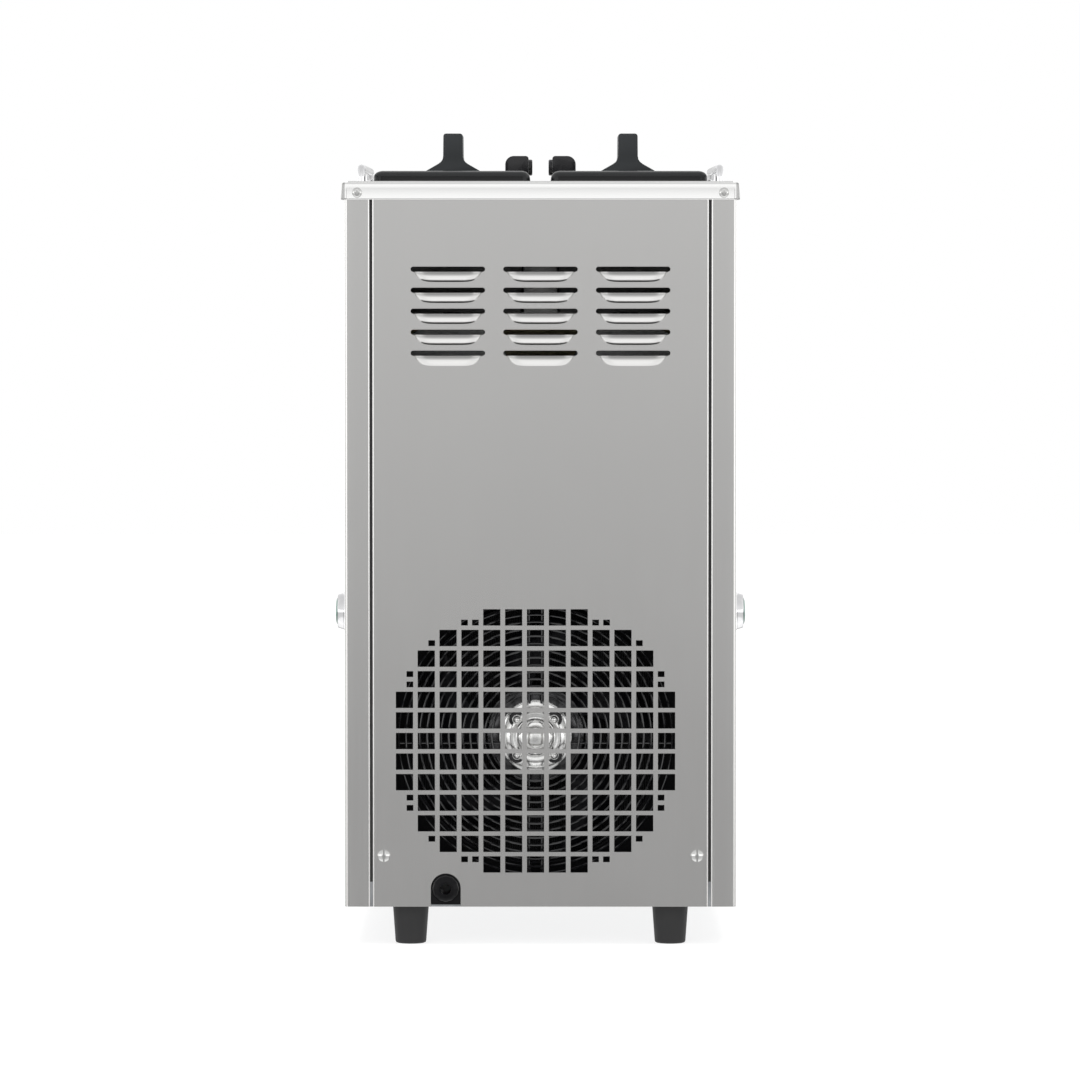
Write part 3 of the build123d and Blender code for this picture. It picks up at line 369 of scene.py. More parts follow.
def louvre_hood():
    """The pressed hood: free along its straight top edge, run out into the sheet below."""
    wide, down = 40, 12
    points = []
    for skin in (0.0, 0.0009):
        for i in range(wide + 1):
            x = (HOOD_LONG / 2 - skin) * math.sin(math.pi * (i / wide - 0.5))
            share = min(abs(x) / (HOOD_LONG / 2), 1.0)
            lift = (HOOD_OUT - skin) * (1 - share ** 5) ** 0.5
            for j in range(down + 1):
                t = j / down
                points.append((x, -LOUVRE_GAP / 2 - hood_edge(x) * t,
                               -lift * (1 - t ** 2.1) - 0.00005 * (1 - t)))
    rows = down + 1
    size = (wide + 1) * rows
    faces = []
    for i in range(wide):
        for j in range(down):
            a = i * rows + j
            faces.append((a, a + 1, a + rows + 1, a + rows))
            faces.append(tuple(size + k for k in (a, a + rows, a + rows + 1, a + 1)))
        faces.append((i * rows, i * rows + rows, size + i * rows + rows, size + i * rows))
    mesh = bpy.data.meshes.new("louvre_hood")
    mesh.from_pydata(points, [], faces)
    return bpy.data.objects.new("louvre_hood", mesh)


def node_group(name, *inputs):
    """A geometry tree with named inputs: the tree, its board and its input node."""
    group = bpy.data.node_groups.new(name, "GeometryNodeTree")
    for label, way, kind in (("Geometry", "INPUT", "Geometry"), *((n, "INPUT", k) for n, k in inputs),
                             ("Geometry", "OUTPUT", "Geometry")):
        group.interface.new_socket(label, in_out=way, socket_type="NodeSocket" + kind)
    board = Board(group)
    return group, board, board.node("NodeGroupInput").socket.node


def grown(holder, group, values):
    """Runs a geometry tree on an object and gives the plain mesh. The object goes."""
    maker = holder.modifiers.new(group.name, "NODES")
    maker.node_group = group
    keys = {item.name: item.identifier for item in group.interface.items_tree if item.in_out == "INPUT"}
    for name, value in values.items():
        maker[keys[name]] = value
    mesh = plain_copy(holder).data
    bpy.data.objects.remove(holder)
    return mesh


class Sheet:
    """A flat sheet cut by repeated outlines and dressed with repeated pressings."""

    def __init__(self, name, outline, material):
        self.holder = loop_object(name, outline)
        scene.collection.objects.link(self.holder)
        self.group, self.board, self.entry = node_group(name)
        self.values, self.material = {}, material
        edge = Wire(self.board, self.entry.outputs[0])
        self.loops = [self.board.node("GeometryNodeMeshToCurve", sockets={0: edge})]
        self.dressings, self.templates = [], []

    def knob(self, name, value, kind="NodeSocketFloat"):
        """A named input of the modifier."""
        self.group.interface.new_socket(name, in_out="INPUT", socket_type=kind)
        self.values[name] = value
        return Wire(self.board, self.entry.outputs[name])

    def grid(self, label, centre, pitch, count, pattern=None):
        """Points of a grid, kept where pattern(column, row) is true."""
        board = self.board
        step = [self.knob(f"{label} pitch {axis}", value) for axis, value in zip("XY", pitch)]
        spots = board.node("GeometryNodeMeshGrid", sockets={
            "Size X": step[0] * (count[0] - 1), "Size Y": step[1] * (count[1] - 1),
            "Vertices X": count[0], "Vertices Y": count[1]})
        if pattern:
            parts = board.node("ShaderNodeSeparateXYZ", sockets={0: board.node("GeometryNodeInputPosition")})
            column, row = (Wire(board, parts.socket.node.outputs[k]) / step[k] for k in (0, 1))
            spots = board.node("GeometryNodeDeleteGeometry", sockets={0: spots, 1: 1 - pattern(column, row)})
        return board.node("GeometryNodeTransform", sockets={0: spots, "Translation": (*centre, 0)})

    def repeat(self, template, spots):
        """The template at every spot, as real geometry."""
        self.templates.append(template)
        source = self.knob(template.name, template, "NodeSocketObject")
        shape = self.board.node("GeometryNodeObjectInfo", sockets={0: source}, out="Geometry")
        copies = self.board.node("GeometryNodeInstanceOnPoints", sockets={"Points": spots, "Instance": shape})
        return self.board.node("GeometryNodeRealizeInstances", sockets={0: copies})

    def cut(self, template, spots):
        self.loops.append(self.board.node("GeometryNodeMeshToCurve", sockets={
            0: self.repeat(template, spots)}))

    def dress(self, template, spots):
        self.dressings.append(self.repeat(template, spots))

    def finish(self, thickness, place):
        """Fills and thickens the sheet, stands it in its place and returns the plain mesh."""
        board = self.board
        flat = board.node("GeometryNodeFillCurve", sockets={0: board.node(
            "GeometryNodeJoinGeometry", sockets={0: self.loops})})
        thick = self.knob("Thickness", thickness)
        risen = board.node("GeometryNodeExtrudeMesh", sockets={
            "Mesh": flat, "Offset Scale": thick, "Individual": False})
        under = board.node("GeometryNodeFlipFaces", sockets={0: flat})
        whole = board.node("GeometryNodeMergeByDistance", sockets={0: board.node(
            "GeometryNodeJoinGeometry", sockets={0: [risen, under]}), "Distance": 1e-6})
        joined = board.node("GeometryNodeJoinGeometry", sockets={0: [whole, *self.dressings]})
        real = board.node("GeometryNodeRealizeInstances", sockets={0: joined})
        done = board.node("GeometryNodeSetMaterial", sockets={0: real, "Material": self.material})
        board.node("NodeGroupOutput", sockets={0: done})
        mesh = grown(self.holder, self.group, self.values)
        mesh.transform(place)
        for template in self.templates:
            if template.name in bpy.data.objects:
                bpy.data.objects.remove(template)
        return mesh


EDGE_ROLL = 0.0018
PANEL_HALF, PANEL_LOW, PANEL_TOP = 0.1684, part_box("rear_panel")[0][2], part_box("rear_panel")[1][2]
NOTCH_X, NOTCH_Z, NOTCH_R = 0.095, 0.0574, 0.015
LOUVRE_PITCH, LOUVRE_TOP, HEM_DEEP = (0.0925, 0.02095), 0.6776, 0.012
flat_half = PANEL_HALF - EDGE_ROLL
outline = [(flat_half, PANEL_LOW), (flat_half, PANEL_TOP),
           (-flat_half, PANEL_TOP), (-flat_half, PANEL_LOW),
           (NOTCH_X - NOTCH_R, PANEL_LOW), *bend((NOTCH_X, NOTCH_Z), NOTCH_R, 180, 0, 24),
           (NOTCH_X + NOTCH_R, PANEL_LOW)]
rear = Sheet("rear_panel_sheet", outline, panel_steel)
CELL, HOLE, QUARTER = (0.02187, 0.02066), (0.0172, 0.0164), (0.0067, 0.0058)
GRILLE = (0.005, 0.2055)
WHOLE_REACH, QUARTER_REACH = 7.1, 6.78


def in_whole(column, row):
    """True for cells whose whole hole lies inside the round outline."""
    reach_x, reach_z = HOLE[0] / CELL[0] / 2, HOLE[1] / CELL[1] / 2
    return ((abs(column) + reach_x) ** 2 + (abs(row) + reach_z) ** 2) < WHOLE_REACH ** 2


def in_quarter(column, row):
    """True for quarter cells inside the outline whose own cell has no whole hole."""
    # two quarters stand in each cell's pitch, so the cell's own number is the rounded half
    board = column.board
    column, row = column * 0.5, row * 0.5
    cells = [board.node("ShaderNodeMath", {"operation": "ROUND"}, {0: v}) for v in (column, row)]
    return (column ** 2 + row ** 2 < QUARTER_REACH ** 2) * (1 - in_whole(*cells))


def square(name, width, height):
    """A rectangular hole about its own middle."""
    w, h = width / 2, height / 2
    return loop_object(name, [(-w, -h), (w, -h), (w, h), (-w, h)])


rear.cut(square("grille_hole", *HOLE), rear.grid("Grille", GRILLE, CELL, (13, 13), in_whole))
rear.cut(square("grille_quarter", *QUARTER),
         rear.grid("Quarter", GRILLE, (CELL[0] / 2, CELL[1] / 2), (26, 26), in_quarter))
louvres = rear.grid("Louvre", (0, LOUVRE_TOP - 2 * LOUVRE_PITCH[1]), LOUVRE_PITCH, (3, 5))
rear.cut(louvre_opening(), louvres)
rear.dress(louvre_hood(), louvres)
stand = Matrix.Translation((0, REAR_FACE, 0)) @ Matrix.Rotation(math.radians(90), 4, "X")
fit("rear_panel_sheet", rear.finish(SHEET, stand), panel_steel, "cabinet", ("rear_panel",))
SIDES = {"left": -1, "right": 1}
for name, side in SIDES.items():
    turn = bend((side * flat_half, REAR_FACE - EDGE_ROLL), EDGE_ROLL - SHEET / 2, 90, 90 - side * 90)
    line = [*turn, (side * (PANEL_HALF - SHEET / 2), REAR_FACE - HEM_DEEP)]
    fold(line, PANEL_LOW, PANEL_TOP, SHEET, f"rear_panel_hem_{name}", panel_steel, "cabinet")


# ---------------------------------------------------------------- side panels
# Each side is one sheet folded round the rear corner into a hemmed flange, and round the front
# corner into a plain one. Its lower front is pressed into the intake louvres.
CORNER_R, KEY_HOLE_R = 0.003, 0.016
WALL, SIDE_LOW, SIDE_TOP = 0.196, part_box("side_panel_left")[0][2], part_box("side_panel_left")[1][2]
FRONT_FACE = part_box("side_panel_left")[0][1]
FLANGE_EDGE, FRONT_FLANGE_EDGE = 0.1705, 0.1766
INTAKE_PITCH, INTAKE_LOW, INTAKE_ROWS = (0.090, 0.024), 0.126, 8
KEY_Y, KEY_Z = (sum(c[k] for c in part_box("side_key_left")) / 2 for k in (1, 2))
for name, side in SIDES.items():
    near, far = FRONT_FACE + CORNER_R, REAR_FACE - CORNER_R
    outline = [(near, SIDE_LOW), (far, SIDE_LOW), (far, SIDE_TOP), (near, SIDE_TOP)]
    wall = Sheet(f"side_panel_{name}_sheet", [(-side * y, z) for y, z in outline], panel_steel)
    intake = wall.grid("Intake", (0, INTAKE_LOW + (INTAKE_ROWS - 1) / 2 * INTAKE_PITCH[1]), INTAKE_PITCH,
                       (3, INTAKE_ROWS))
    wall.cut(louvre_opening(), intake)
    wall.dress(louvre_hood(), intake)
    hole = loop_object("key_hole", bend((0, 0), KEY_HOLE_R, 0, 345, 23))
    wall.cut(hole, wall.grid("Key", (-side * KEY_Y, KEY_Z), (0.01, 0.01), (1, 1)))
    stand = Matrix(((0, 0, -side, side * WALL), (-side, 0, 0, 0), (0, 1, 0, 0), (0, 0, 0, 1)))
    fit(f"side_panel_{name}_sheet", wall.finish(SHEET, stand), panel_steel, "cabinet",
        (f"side_panel_{name}",))
    line = bend((WALL - CORNER_R, far), CORNER_R - SHEET / 2, 0, 90)
    line += bend((FLANGE_EDGE + EDGE_ROLL, REAR_FACE - EDGE_ROLL), EDGE_ROLL - SHEET / 2, 90, 180)
    line += [(FLANGE_EDGE + SHEET / 2, REAR_FACE - HEM_DEEP)]
    fold([(side * x, y) for x, y in line], SIDE_LOW, SIDE_TOP, SHEET, f"side_panel_{name}_rear_fold",
         panel_steel, "cabinet")
    line = bend((WALL - CORNER_R, near), CORNER_R - SHEET / 2, 0, -90)
    line += [(FRONT_FLANGE_EDGE, FRONT_FACE + SHEET / 2)]
    fold([(side * x, y) for x, y in line], SIDE_LOW, SIDE_TOP, SHEET, f"side_panel_{name}_front_fold",
         panel_steel, "cabinet")


# ---------------------------------------------------------------- carried-over sheet metal
# The front panel is the same ground stainless. The beaters and the levers' pin are a brighter,
# polished grade, and the hidden frame is spangled galvanised sheet.
def dress(material, *nodes):
    """Gives CAD nodes their finish."""
    for node in nodes:
        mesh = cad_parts[node].data
        mesh.materials.clear()
        mesh.materials.append(material)


bright_steel = steel("bright_steel", (0.93, 0.93, 0.925), (0.88, 0.88, 0.87), 0.16, (30, 1400, 1400))
dress(panel_steel, "front_panel")
dress(bright_steel, "lever_pin", "beater_left", "beater_right")


def spangled(board):
    """Zinc crystals, each with its own tone."""
    crystals = board.node("ShaderNodeTexVoronoi", sockets={
        "Vector": board.node("ShaderNodeTexCoord", out="Object"), "Scale": 90.0})
    patch = noise(board, 60)
    return {"Base Color": blend(board, crystals, (0.22, 0.23, 0.24), (0.36, 0.37, 0.38)),
            "Roughness": crystals * 0.25 + 0.34, "Normal": bump(board, patch, 0.2, 0.0001)}


galvanised = surface("galvanised", spangled, Metallic=0.85)
dress(galvanised, "base_tray", "corner_posts", "shelf", "electrical_box")


# ---------------------------------------------------------------- deck
# The top is one bright stainless pressing with its edge rolled over into a lip that leans out a
# little towards its hem. The lip's corners are notched at their weld lines, and the corners are painted a
# darker, duller steel: painted shade.
def tubular(rings):
    """Points and faces of a ring-shaped solid: a stack of closed rings whose last meets its first."""
    points, faces = stacked(rings)
    n, last = len(rings[0]), (len(rings) - 1) * len(rings[0])
    return points, faces[:-2] + [(last + i, last + (i + 1) % n, (i + 1) % n, i) for i in range(n)]


def box_cutter(low, high):
    """A plain block for cutting with."""
    points = [(x, y, z) for x in (low[0], high[0]) for y in (low[1], high[1]) for z in (low[2], high[2])]
    faces = [(0, 1, 3, 2), (4, 6, 7, 5), (0, 4, 5, 1), (2, 3, 7, 6), (0, 2, 6, 4), (1, 5, 7, 3)]
    return closed(points, faces, "cutter")


def carve(mesh, *cutters):
    """The mesh with blocks cut away from it."""
    holder = placed("carving", mesh)
    for cutter in cutters:
        tool = placed("tool", cutter)
        step = holder.modifiers.new("cut", "BOOLEAN")
        step.object, step.operation, step.solver = tool, "DIFFERENCE", "EXACT"
        plain_copy(holder)
        bpy.data.objects.remove(tool)
    result = holder.data
    bpy.data.objects.remove(holder)
    return result


def rounded(width, length, radius, steps=6):
    """A rectangle's outline with rounded corners."""
    w, h = width / 2 - radius, length / 2 - radius
    return [p for x, y, start in ((w, h, 0), (-w, h, 90), (-w, -h, 180), (w, -h, 270))
            for p in bend((x, y), radius, start, start + 90, steps)]


def eased(width, length, radius, profile, centre):
    """Rings of a rounded rectangle, each pulled in and set at a height."""
    return [[(centre[0] + x, centre[1] + y, z) for x, y in
             rounded(width - 2 * pull, length - 2 * pull, max(radius - pull, 0.0008))] for pull, z in profile]


(deck_left, deck_front, LIP_FOOT), (deck_right, deck_rear, DECK_TOP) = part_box("deck")
deck_mid = (0.0, (deck_front + deck_rear) / 2)
DECK_THICK, LIP_LEAN, LIP_ROLL, LIP_IN = 0.0015, 0.0011, 0.0022, 0.0058
NOTCH_AT, PAINTED_SHADE_FROM = 0.1937, 0.1936   # the corners' weld lines, and where the corners' painted shade starts, out from the middle
lip = [(LIP_IN, DECK_TOP)] + [(LIP_LEAN + LIP_ROLL - x, DECK_TOP - LIP_ROLL + z)
                              for x, z in bend((0, 0), LIP_ROLL, 90, 0, 6)]
lip += [(LIP_LEAN - 0.00004, DECK_TOP - LIP_ROLL - 0.0005), (0.00004, LIP_FOOT + 0.0013)]
lip += [(0.0, LIP_FOOT + 0.0008), (0.0004, LIP_FOOT + 0.0001), (0.0011, LIP_FOOT),
        (0.0015, LIP_FOOT + 0.0008), (LIP_LEAN + DECK_THICK, DECK_TOP - LIP_ROLL),
        (LIP_IN, DECK_TOP - DECK_THICK)]
rings = eased(deck_right - deck_left, deck_rear - deck_front, 0.004, lip, deck_mid)
notches = [box_cutter((sx * NOTCH_AT - 0.0002, y - 0.0004, LIP_FOOT - 0.001),
                      (sx * NOTCH_AT + 0.0002, y + 0.0004, DECK_TOP - 0.0012))
           for sx in (-1, 1) for y in (deck_front + 0.0004, deck_rear - 0.0004)]
lip_mesh = carve(closed(*tubular(rings), "lip"), *notches)
# the lip's corners take a darker, duller steel: painted shade
ground_corner = steel("ground_corner", (0.50, 0.50, 0.495), (0.42, 0.42, 0.415), 0.32, GRAIN_UP)
for finish in (bright_steel, ground_corner):
    lip_mesh.materials.append(finish)
# faces out past the start of the corners get the painted shade
for face in lip_mesh.polygons:
    face.material_index = int(abs(face.center.x) > PAINTED_SHADE_FROM)
fit("deck_lip", lip_mesh, bright_steel, "cabinet", ("deck",), crease=50)
HOPPER_SIZE, PLUG_X, PLUG_HOLE_R = (0.144, 0.277), 0.0247, 0.0083
LID_MID = (0.089, (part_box("lid_left")[0][1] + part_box("lid_left")[1][1]) / 2)
outline = rounded(deck_right - deck_left - 2 * LIP_IN, deck_rear - deck_front - 2 * LIP_IN, 0.001)
top_sheet = Sheet("deck_top", [(deck_mid[0] + x, deck_mid[1] + y) for x, y in outline], bright_steel)
top_sheet.cut(square("hopper_mouth", *HOPPER_SIZE),
              top_sheet.grid("Hopper", (0, LID_MID[1]), (2 * LID_MID[0], 0.1), (2, 1)))
top_sheet.cut(loop_object("cap_hole", bend((0, 0), PLUG_HOLE_R, 0, 345, 23)),
              top_sheet.grid("Cap", (0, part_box("air_cap_left")[1][1] - 0.020), (2 * PLUG_X, 0.1), (2, 1)))
fit("deck_top", top_sheet.finish(DECK_THICK, Matrix.Translation((0, 0, DECK_TOP))), bright_steel, "cabinet")


# ---------------------------------------------------------------- hoppers
# Two welded stainless wells, bright inside. Their outsides below the deck, where only the upper
# louvres show them, are painted a dark, dull steel: painted shade inside the cabinet.
hopper_steel = steel("hopper_steel", (0.26, 0.26, 0.256), (0.20, 0.20, 0.197), 0.30, GRAIN_UP)
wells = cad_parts["hoppers"].data.copy()
wells.materials.clear()
for finish in (bright_steel, hopper_steel):
    wells.materials.append(finish)
shape = bmesh.new()
shape.from_mesh(wells)
bmesh.ops.remove_doubles(shape, verts=shape.verts, dist=2e-6)
bmesh.ops.bisect_plane(shape, geom=shape.verts[:] + shape.edges[:] + shape.faces[:],
                       plane_co=(0, 0, DECK_TOP), plane_no=(0, 0, 1))
for face in shape.faces:
    middle = face.calc_center_median()
    away = Vector((middle.x - math.copysign(LID_MID[0], middle.x), middle.y - LID_MID[1]))
    # outward faces below the deck get the painted shade
    shaded_outside = face.normal.z < -0.5 or (abs(face.normal.z) < 0.5 and face.normal.xy.dot(away) > 0)
    face.material_index = 1 if shaded_outside and middle.z < DECK_TOP else 0
shape.to_mesh(wells)
shape.free()
fit("hopper_wells", wells, bright_steel, "cabinet", ("hoppers",))


# ---------------------------------------------------------------- screws
# Pan heads with a driver recess hold the deck's lip. Slotted domed heads, polished, hold the foot of
# the rear panel. All are turned stainless.
def turned(profile, turns=48, closed_loop=False, lobes=0, lobe_depth=0.0):
    """Points and faces of a turned form about Z from (radius, height) pairs, plain or lobed."""
    rings = []
    for r, h in profile:
        ring = []
        for k in range(turns):
            a = 2 * math.pi * k / turns
            swell = 1 - lobe_depth * (0.5 - 0.5 * math.cos(lobes * a)) ** 1.5 if lobes else 1
            ring.append((r * swell * math.cos(a), r * swell * math.sin(a), h))
        rings.append(ring)
    return tubular(rings) if closed_loop else stacked(rings)


def lying(points, axis, centre):
    """Turned points laid along X or Y, or left standing, and moved to a centre."""
    order = {"X": (2, 0, 1), "-X": (2, 0, 1), "Y": (0, 2, 1), "-Y": (0, 2, 1), "Z": (0, 1, 2)}[axis]
    way = -1 if axis.startswith("-") else 1
    placed = []
    for p in points:
        q = [p[0], p[1], p[2] * way]
        placed.append(tuple(centre[k] + q[order[k]] for k in range(3)))
    return placed


def lathe(label, profile, axis="Z", centre=(0, 0, 0), turns=48, **form):
    """A turned mesh laid along an axis about a centre."""
    points, faces = turned(profile, turns, **form)
    return closed(lying(points, axis, centre), faces, label)


def repeated(name, mesh, places, turn, material, stands_for=(), crease=38):
    """One cabinet piece made of a mesh at every place, turned the same way by a Geometry Nodes tree."""
    shape = placed(f"{name}_shape", mesh)
    spots = bpy.data.meshes.new(name)
    spots.from_pydata(places, [], [])
    group, board, entry = node_group(name, ("Shape", "Object"), ("Turn", "Rotation"))
    spots_in, shape_in, turn_in = (Wire(board, entry.outputs[k]) for k in range(3))
    form = board.node("GeometryNodeObjectInfo", sockets={0: shape_in}, out="Geometry")
    copies = board.node("GeometryNodeInstanceOnPoints", sockets={
        "Points": spots_in, "Instance": form, "Rotation": turn_in})
    real = board.node("GeometryNodeRealizeInstances", sockets={0: copies})
    board.node("NodeGroupOutput", sockets={0: board.node(
        "GeometryNodeSetMaterial", sockets={0: real, "Material": material})})
    result = grown(placed(f"{name}_spots", spots), group, {
        "Shape": shape, "Turn": [math.radians(angle) for angle in turn]})
    bpy.data.objects.remove(shape)
    return fit(name, result, material, "cabinet", stands_for, crease=crease)


def clouded(scale, first, second, rough, spread, relief=None):
    """A finish that drifts between two tones, and in roughness, with an optional relief."""
    def wiring(board):
        cloud = noise(board, scale)
        made = {"Base Color": blend(board, cloud, first, second), "Roughness": cloud * spread + rough}
        if relief:
            made["Normal"] = bump(board, cloud, *relief)
        return made
    return wiring


turned_steel = surface("turned_steel", clouded(900, (0.62, 0.62, 0.61), (0.76, 0.76, 0.75), 0.10, 0.10),
                       Metallic=1.0)


def domed(radius, height, edge):
    """A low dome's profile from its seat to near its middle."""
    rise = [(radius, 0.0), (radius, edge)]
    for k in range(1, 9):
        a = math.pi / 2 * k / 8
        rise.append((max(radius * math.cos(a), radius * 0.02), edge + (height - edge) * math.sin(a)))
    return rise


TRUSS_R, TRUSS_H, TRUSS_X, TRUSS_Z = 0.0065, 0.0030, 0.157, 0.0903
PAN_R, PAN_H, PAN_X, PAN_Z = 0.0050, 0.0026, 0.183, 0.754
slot_cutter = box_cutter((-0.0008, -0.009, 0.0007), (0.0008, 0.009, 0.006))
repeated("rear_panel_screws", carve(lathe("truss", domed(TRUSS_R, TRUSS_H, 0.0003)), slot_cutter),
         [(side * TRUSS_X, REAR_FACE, TRUSS_Z) for side in (-1, 1)], (-90, 0, 0), turned_steel,
         ("case_screws",))
arms = [box_cutter((-0.0024, -0.0005, 0.0012), (0.0024, 0.0005, 0.004)),
        box_cutter((-0.0005, -0.0024, 0.0012), (0.0005, 0.0024, 0.004))]
pan = carve(lathe("pan", [(PAN_R, 0), (PAN_R, 0.0012), (PAN_R * 0.93, 0.0019), (PAN_R * 0.75, PAN_H),
                          (PAN_R * 0.02, PAN_H)]), *arms)
for label, y, tilt in (("rear", deck_rear, -90), ("front", deck_front, 90)):
    repeated(f"deck_screws_{label}", pan, [(side * PAN_X, y, PAN_Z) for side in (-1, 1)], (tilt, 0, 0),
             turned_steel)


# ---------------------------------------------------------------- lids and handles
# Each lid is a moulded black shell with an overhanging eased rim that drops over the hopper's
# upstand. Its fin handle is a second moulding with a flared foot. Both have a fine sparked texture.
def moulded(tint, rough, grain):
    """Moulded plastic: a spark-eroded texture, with slight patches of wear from handling."""
    def wiring(board):
        texture, worn = noise(board, grain, detail=1), noise(board, 18)
        lighter = tuple(c * 1.3 + 0.001 for c in tint)
        return {"Base Color": blend(board, worn, tint, lighter),
                "Roughness": (worn - 0.5) * 0.12 + (texture - 0.5) * 0.08 + rough,
                "Normal": bump(board, texture, 0.30, 0.00003)}
    return wiring


black_moulding = surface("black_moulding", moulded((0.0055, 0.006, 0.0065), 0.34, 1900),
                         Coat_Roughness=0.10, Coat_Weight=0.25, Specular_IOR_Level=0.25)
grip_moulding = surface("grip_moulding", moulded((0.016, 0.018, 0.0195), 0.44, 1600),
                        Specular_IOR_Level=0.30)
LID_TOP, LID_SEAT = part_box("lid_left")[1][2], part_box("lid_left")[0][2]
LID_PROFILE = [(0.0085, LID_TOP - 0.0030), (0.0070, LID_TOP - 0.0046), (0.0064, LID_TOP - 0.0060),
               (0.0064, LID_SEAT + 0.0004), (0.0042, LID_SEAT + 0.0002), (0.0038, LID_SEAT + 0.0006),
               (0.0036, LID_SEAT + 0.0014), (0.0022, LID_SEAT + 0.0018), (0.0004, LID_SEAT + 0.0012),
               (0.0, LID_SEAT + 0.0020), (0.0, LID_TOP - 0.0078), (0.0003, LID_TOP - 0.0056),
               (0.0012, LID_TOP - 0.0036), (0.0026, LID_TOP - 0.0020), (0.0046, LID_TOP - 0.0009),
               (0.0068, LID_TOP - 0.0003), (0.0090, LID_TOP)]
HANDLE_HALF = 0.045
HANDLE_SIDE = [(0.0280, LID_TOP), (0.0278, LID_TOP + 0.0009), (0.0150, LID_TOP + 0.0082),
               (0.0122, LID_TOP + 0.0104), (0.0106, LID_TOP + 0.0128), (0.0100, LID_TOP + 0.0160),
               (0.0098, 0.8125), (0.0091, 0.8143), (0.0073, 0.8150)]
for name in SIDES:
    low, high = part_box(f"lid_{name}")
    centre = [(low[k] + high[k]) / 2 for k in (0, 1)]
    rings = eased(high[0] - low[0], high[1] - low[1], 0.010, LID_PROFILE, centre)
    reach = (high[0] - low[0]) / 2 - 0.0075
    panes = [box_cutter((centre[0] - reach, y - 0.0024, LID_SEAT - 0.001),
                        (centre[0] + reach, y + 0.0024, LID_SEAT + 0.0064)) for y in (low[1], high[1])]
    fit(f"lid_{name}_shell", carve(closed(*stacked(rings), "lid"), *panes), black_moulding,
        f"hopper_cover_{name}", (f"lid_{name}",), crease=60)
    outline = HANDLE_SIDE + [(-x, z) for x, z in reversed(HANDLE_SIDE)]
    rings = [[(centre[0] + x, centre[1] + y, z) for x, z in outline] for y in (-HANDLE_HALF, HANDLE_HALF)]
    fit(f"lid_{name}_grip", closed(*stacked(rings), "grip"), grip_moulding, f"hopper_cover_{name}",
        (f"lid_handle_{name}",), bevel=0.0014)


# ---------------------------------------------------------------- air inlet caps
# Black glossy caps that plug into the deck ahead of the lids. The outer shoulder is rounded, and a
# small regulating disc stands on the inner cheek.
gloss_moulding = surface("gloss_moulding", moulded((0.006, 0.006, 0.007), 0.18, 500),
                         Coat_Roughness=0.05, Coat_Weight=0.15, Specular_IOR_Level=0.35)
CAP_IN, CAP_OUT, SHOULDER_R, CHEEK_R, DISC_Z = 0.0124, 0.0370, 0.009, 0.003, 0.783
DISC = [(0.0085, 0), (0.0085, 0.0030), (0.0078, 0.0038), (0.0055, 0.0040), (0.0050, 0.0032),
        (0.0002, 0.0032)]
for name, side in SIDES.items():
    low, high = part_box(f"air_cap_{name}")
    middle = (low[1] + high[1]) / 2
    outline = [(CAP_IN, LID_SEAT + 0.0004), (CAP_OUT, LID_SEAT + 0.0004),
               *bend((CAP_OUT - SHOULDER_R, high[2] - SHOULDER_R), SHOULDER_R, 0, 90, 8),
               *bend((CAP_IN + CHEEK_R, high[2] - CHEEK_R), CHEEK_R, 90, 180, 4)]
    rings = [[(side * x, y, z) for x, z in outline] for y in (low[1], high[1])]
    fit(f"air_cap_{name}_body", closed(*stacked(rings), "cap"), gloss_moulding, f"air_inlet_{name}",
        (f"air_cap_{name}",), bevel=0.0012)
    disc = lathe("disc", DISC, "-X" if side > 0 else "X", (side * CAP_IN, middle, DISC_Z),
                 lobes=16, lobe_depth=0.03)
    fit(f"air_cap_{name}_disc", disc, gloss_moulding, f"air_inlet_{name}")
    plug = lathe("plug", [(0.0072, 0.0), (0.0080, 0.0008), (0.0080, 0.0222)], "Z",
                 (side * PLUG_X, middle, low[2]))
    fit(f"air_cap_{name}_plug", plug, black_moulding, f"air_inlet_{name}")


# ---------------------------------------------------------------- deck rails
# Bent 8 mm rod, bright plated, with its legs nutted under the deck.
chrome = surface("chrome", clouded(40, (0.80, 0.80, 0.81), (0.90, 0.90, 0.91), 0.05, 0.06), Metallic=1.0)


def tube(path, radius, turns=20):
    """A round rod along a path, capped at both ends."""
    rings = []
    for i, p in enumerate(path):
        run = (path[min(i + 1, len(path) - 1)] - path[max(i - 1, 0)]).normalized()
        first = run.cross(Vector((1, 0, 0))) if abs(run.x) < 0.9 else run.cross(Vector((0, 0, 1)))
        first.normalize()
        second = run.cross(first)
        rings.append([tuple(p + radius * (math.cos(a) * first + math.sin(a) * second))
                      for a in (2 * math.pi * k / turns for k in range(turns))])
    return stacked(rings)


RAIL_R, RAIL_BEND, RAIL_X = 0.004, 0.009, 0.1793
for name, side in SIDES.items():
    (_, near, base), (_, far, top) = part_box("deck_rails")
    near, far, level = near + RAIL_R, far - RAIL_R, top - RAIL_R
    path = [(near, base), *bend((near + RAIL_BEND, level - RAIL_BEND), RAIL_BEND, 180, 90, 8),
            *bend((far - RAIL_BEND, level - RAIL_BEND), RAIL_BEND, 90, 0, 8), (far, base)]
    rod = tube([Vector((side * RAIL_X, y, z)) for y, z in path], RAIL_R)
    fit(f"deck_rail_{name}", closed(*rod, "rail"), chrome, "cabinet",
        ("deck_rails",) if side < 0 else ())


# ---------------------------------------------------------------- feet
# Tapered rubber feet on a screwed stud, with a little dust over them.
def rubbery(board):
    """Black rubber with dust on it."""
    wear, dust = noise(board, 260), noise(board, 30)
    return {"Base Color": blend(board, dust, (0.014, 0.014, 0.015), (0.022, 0.022, 0.022)),
            "Roughness": (dust - 0.5) * 0.2 + 0.55, "Normal": bump(board, wear, 0.25, 0.0001)}


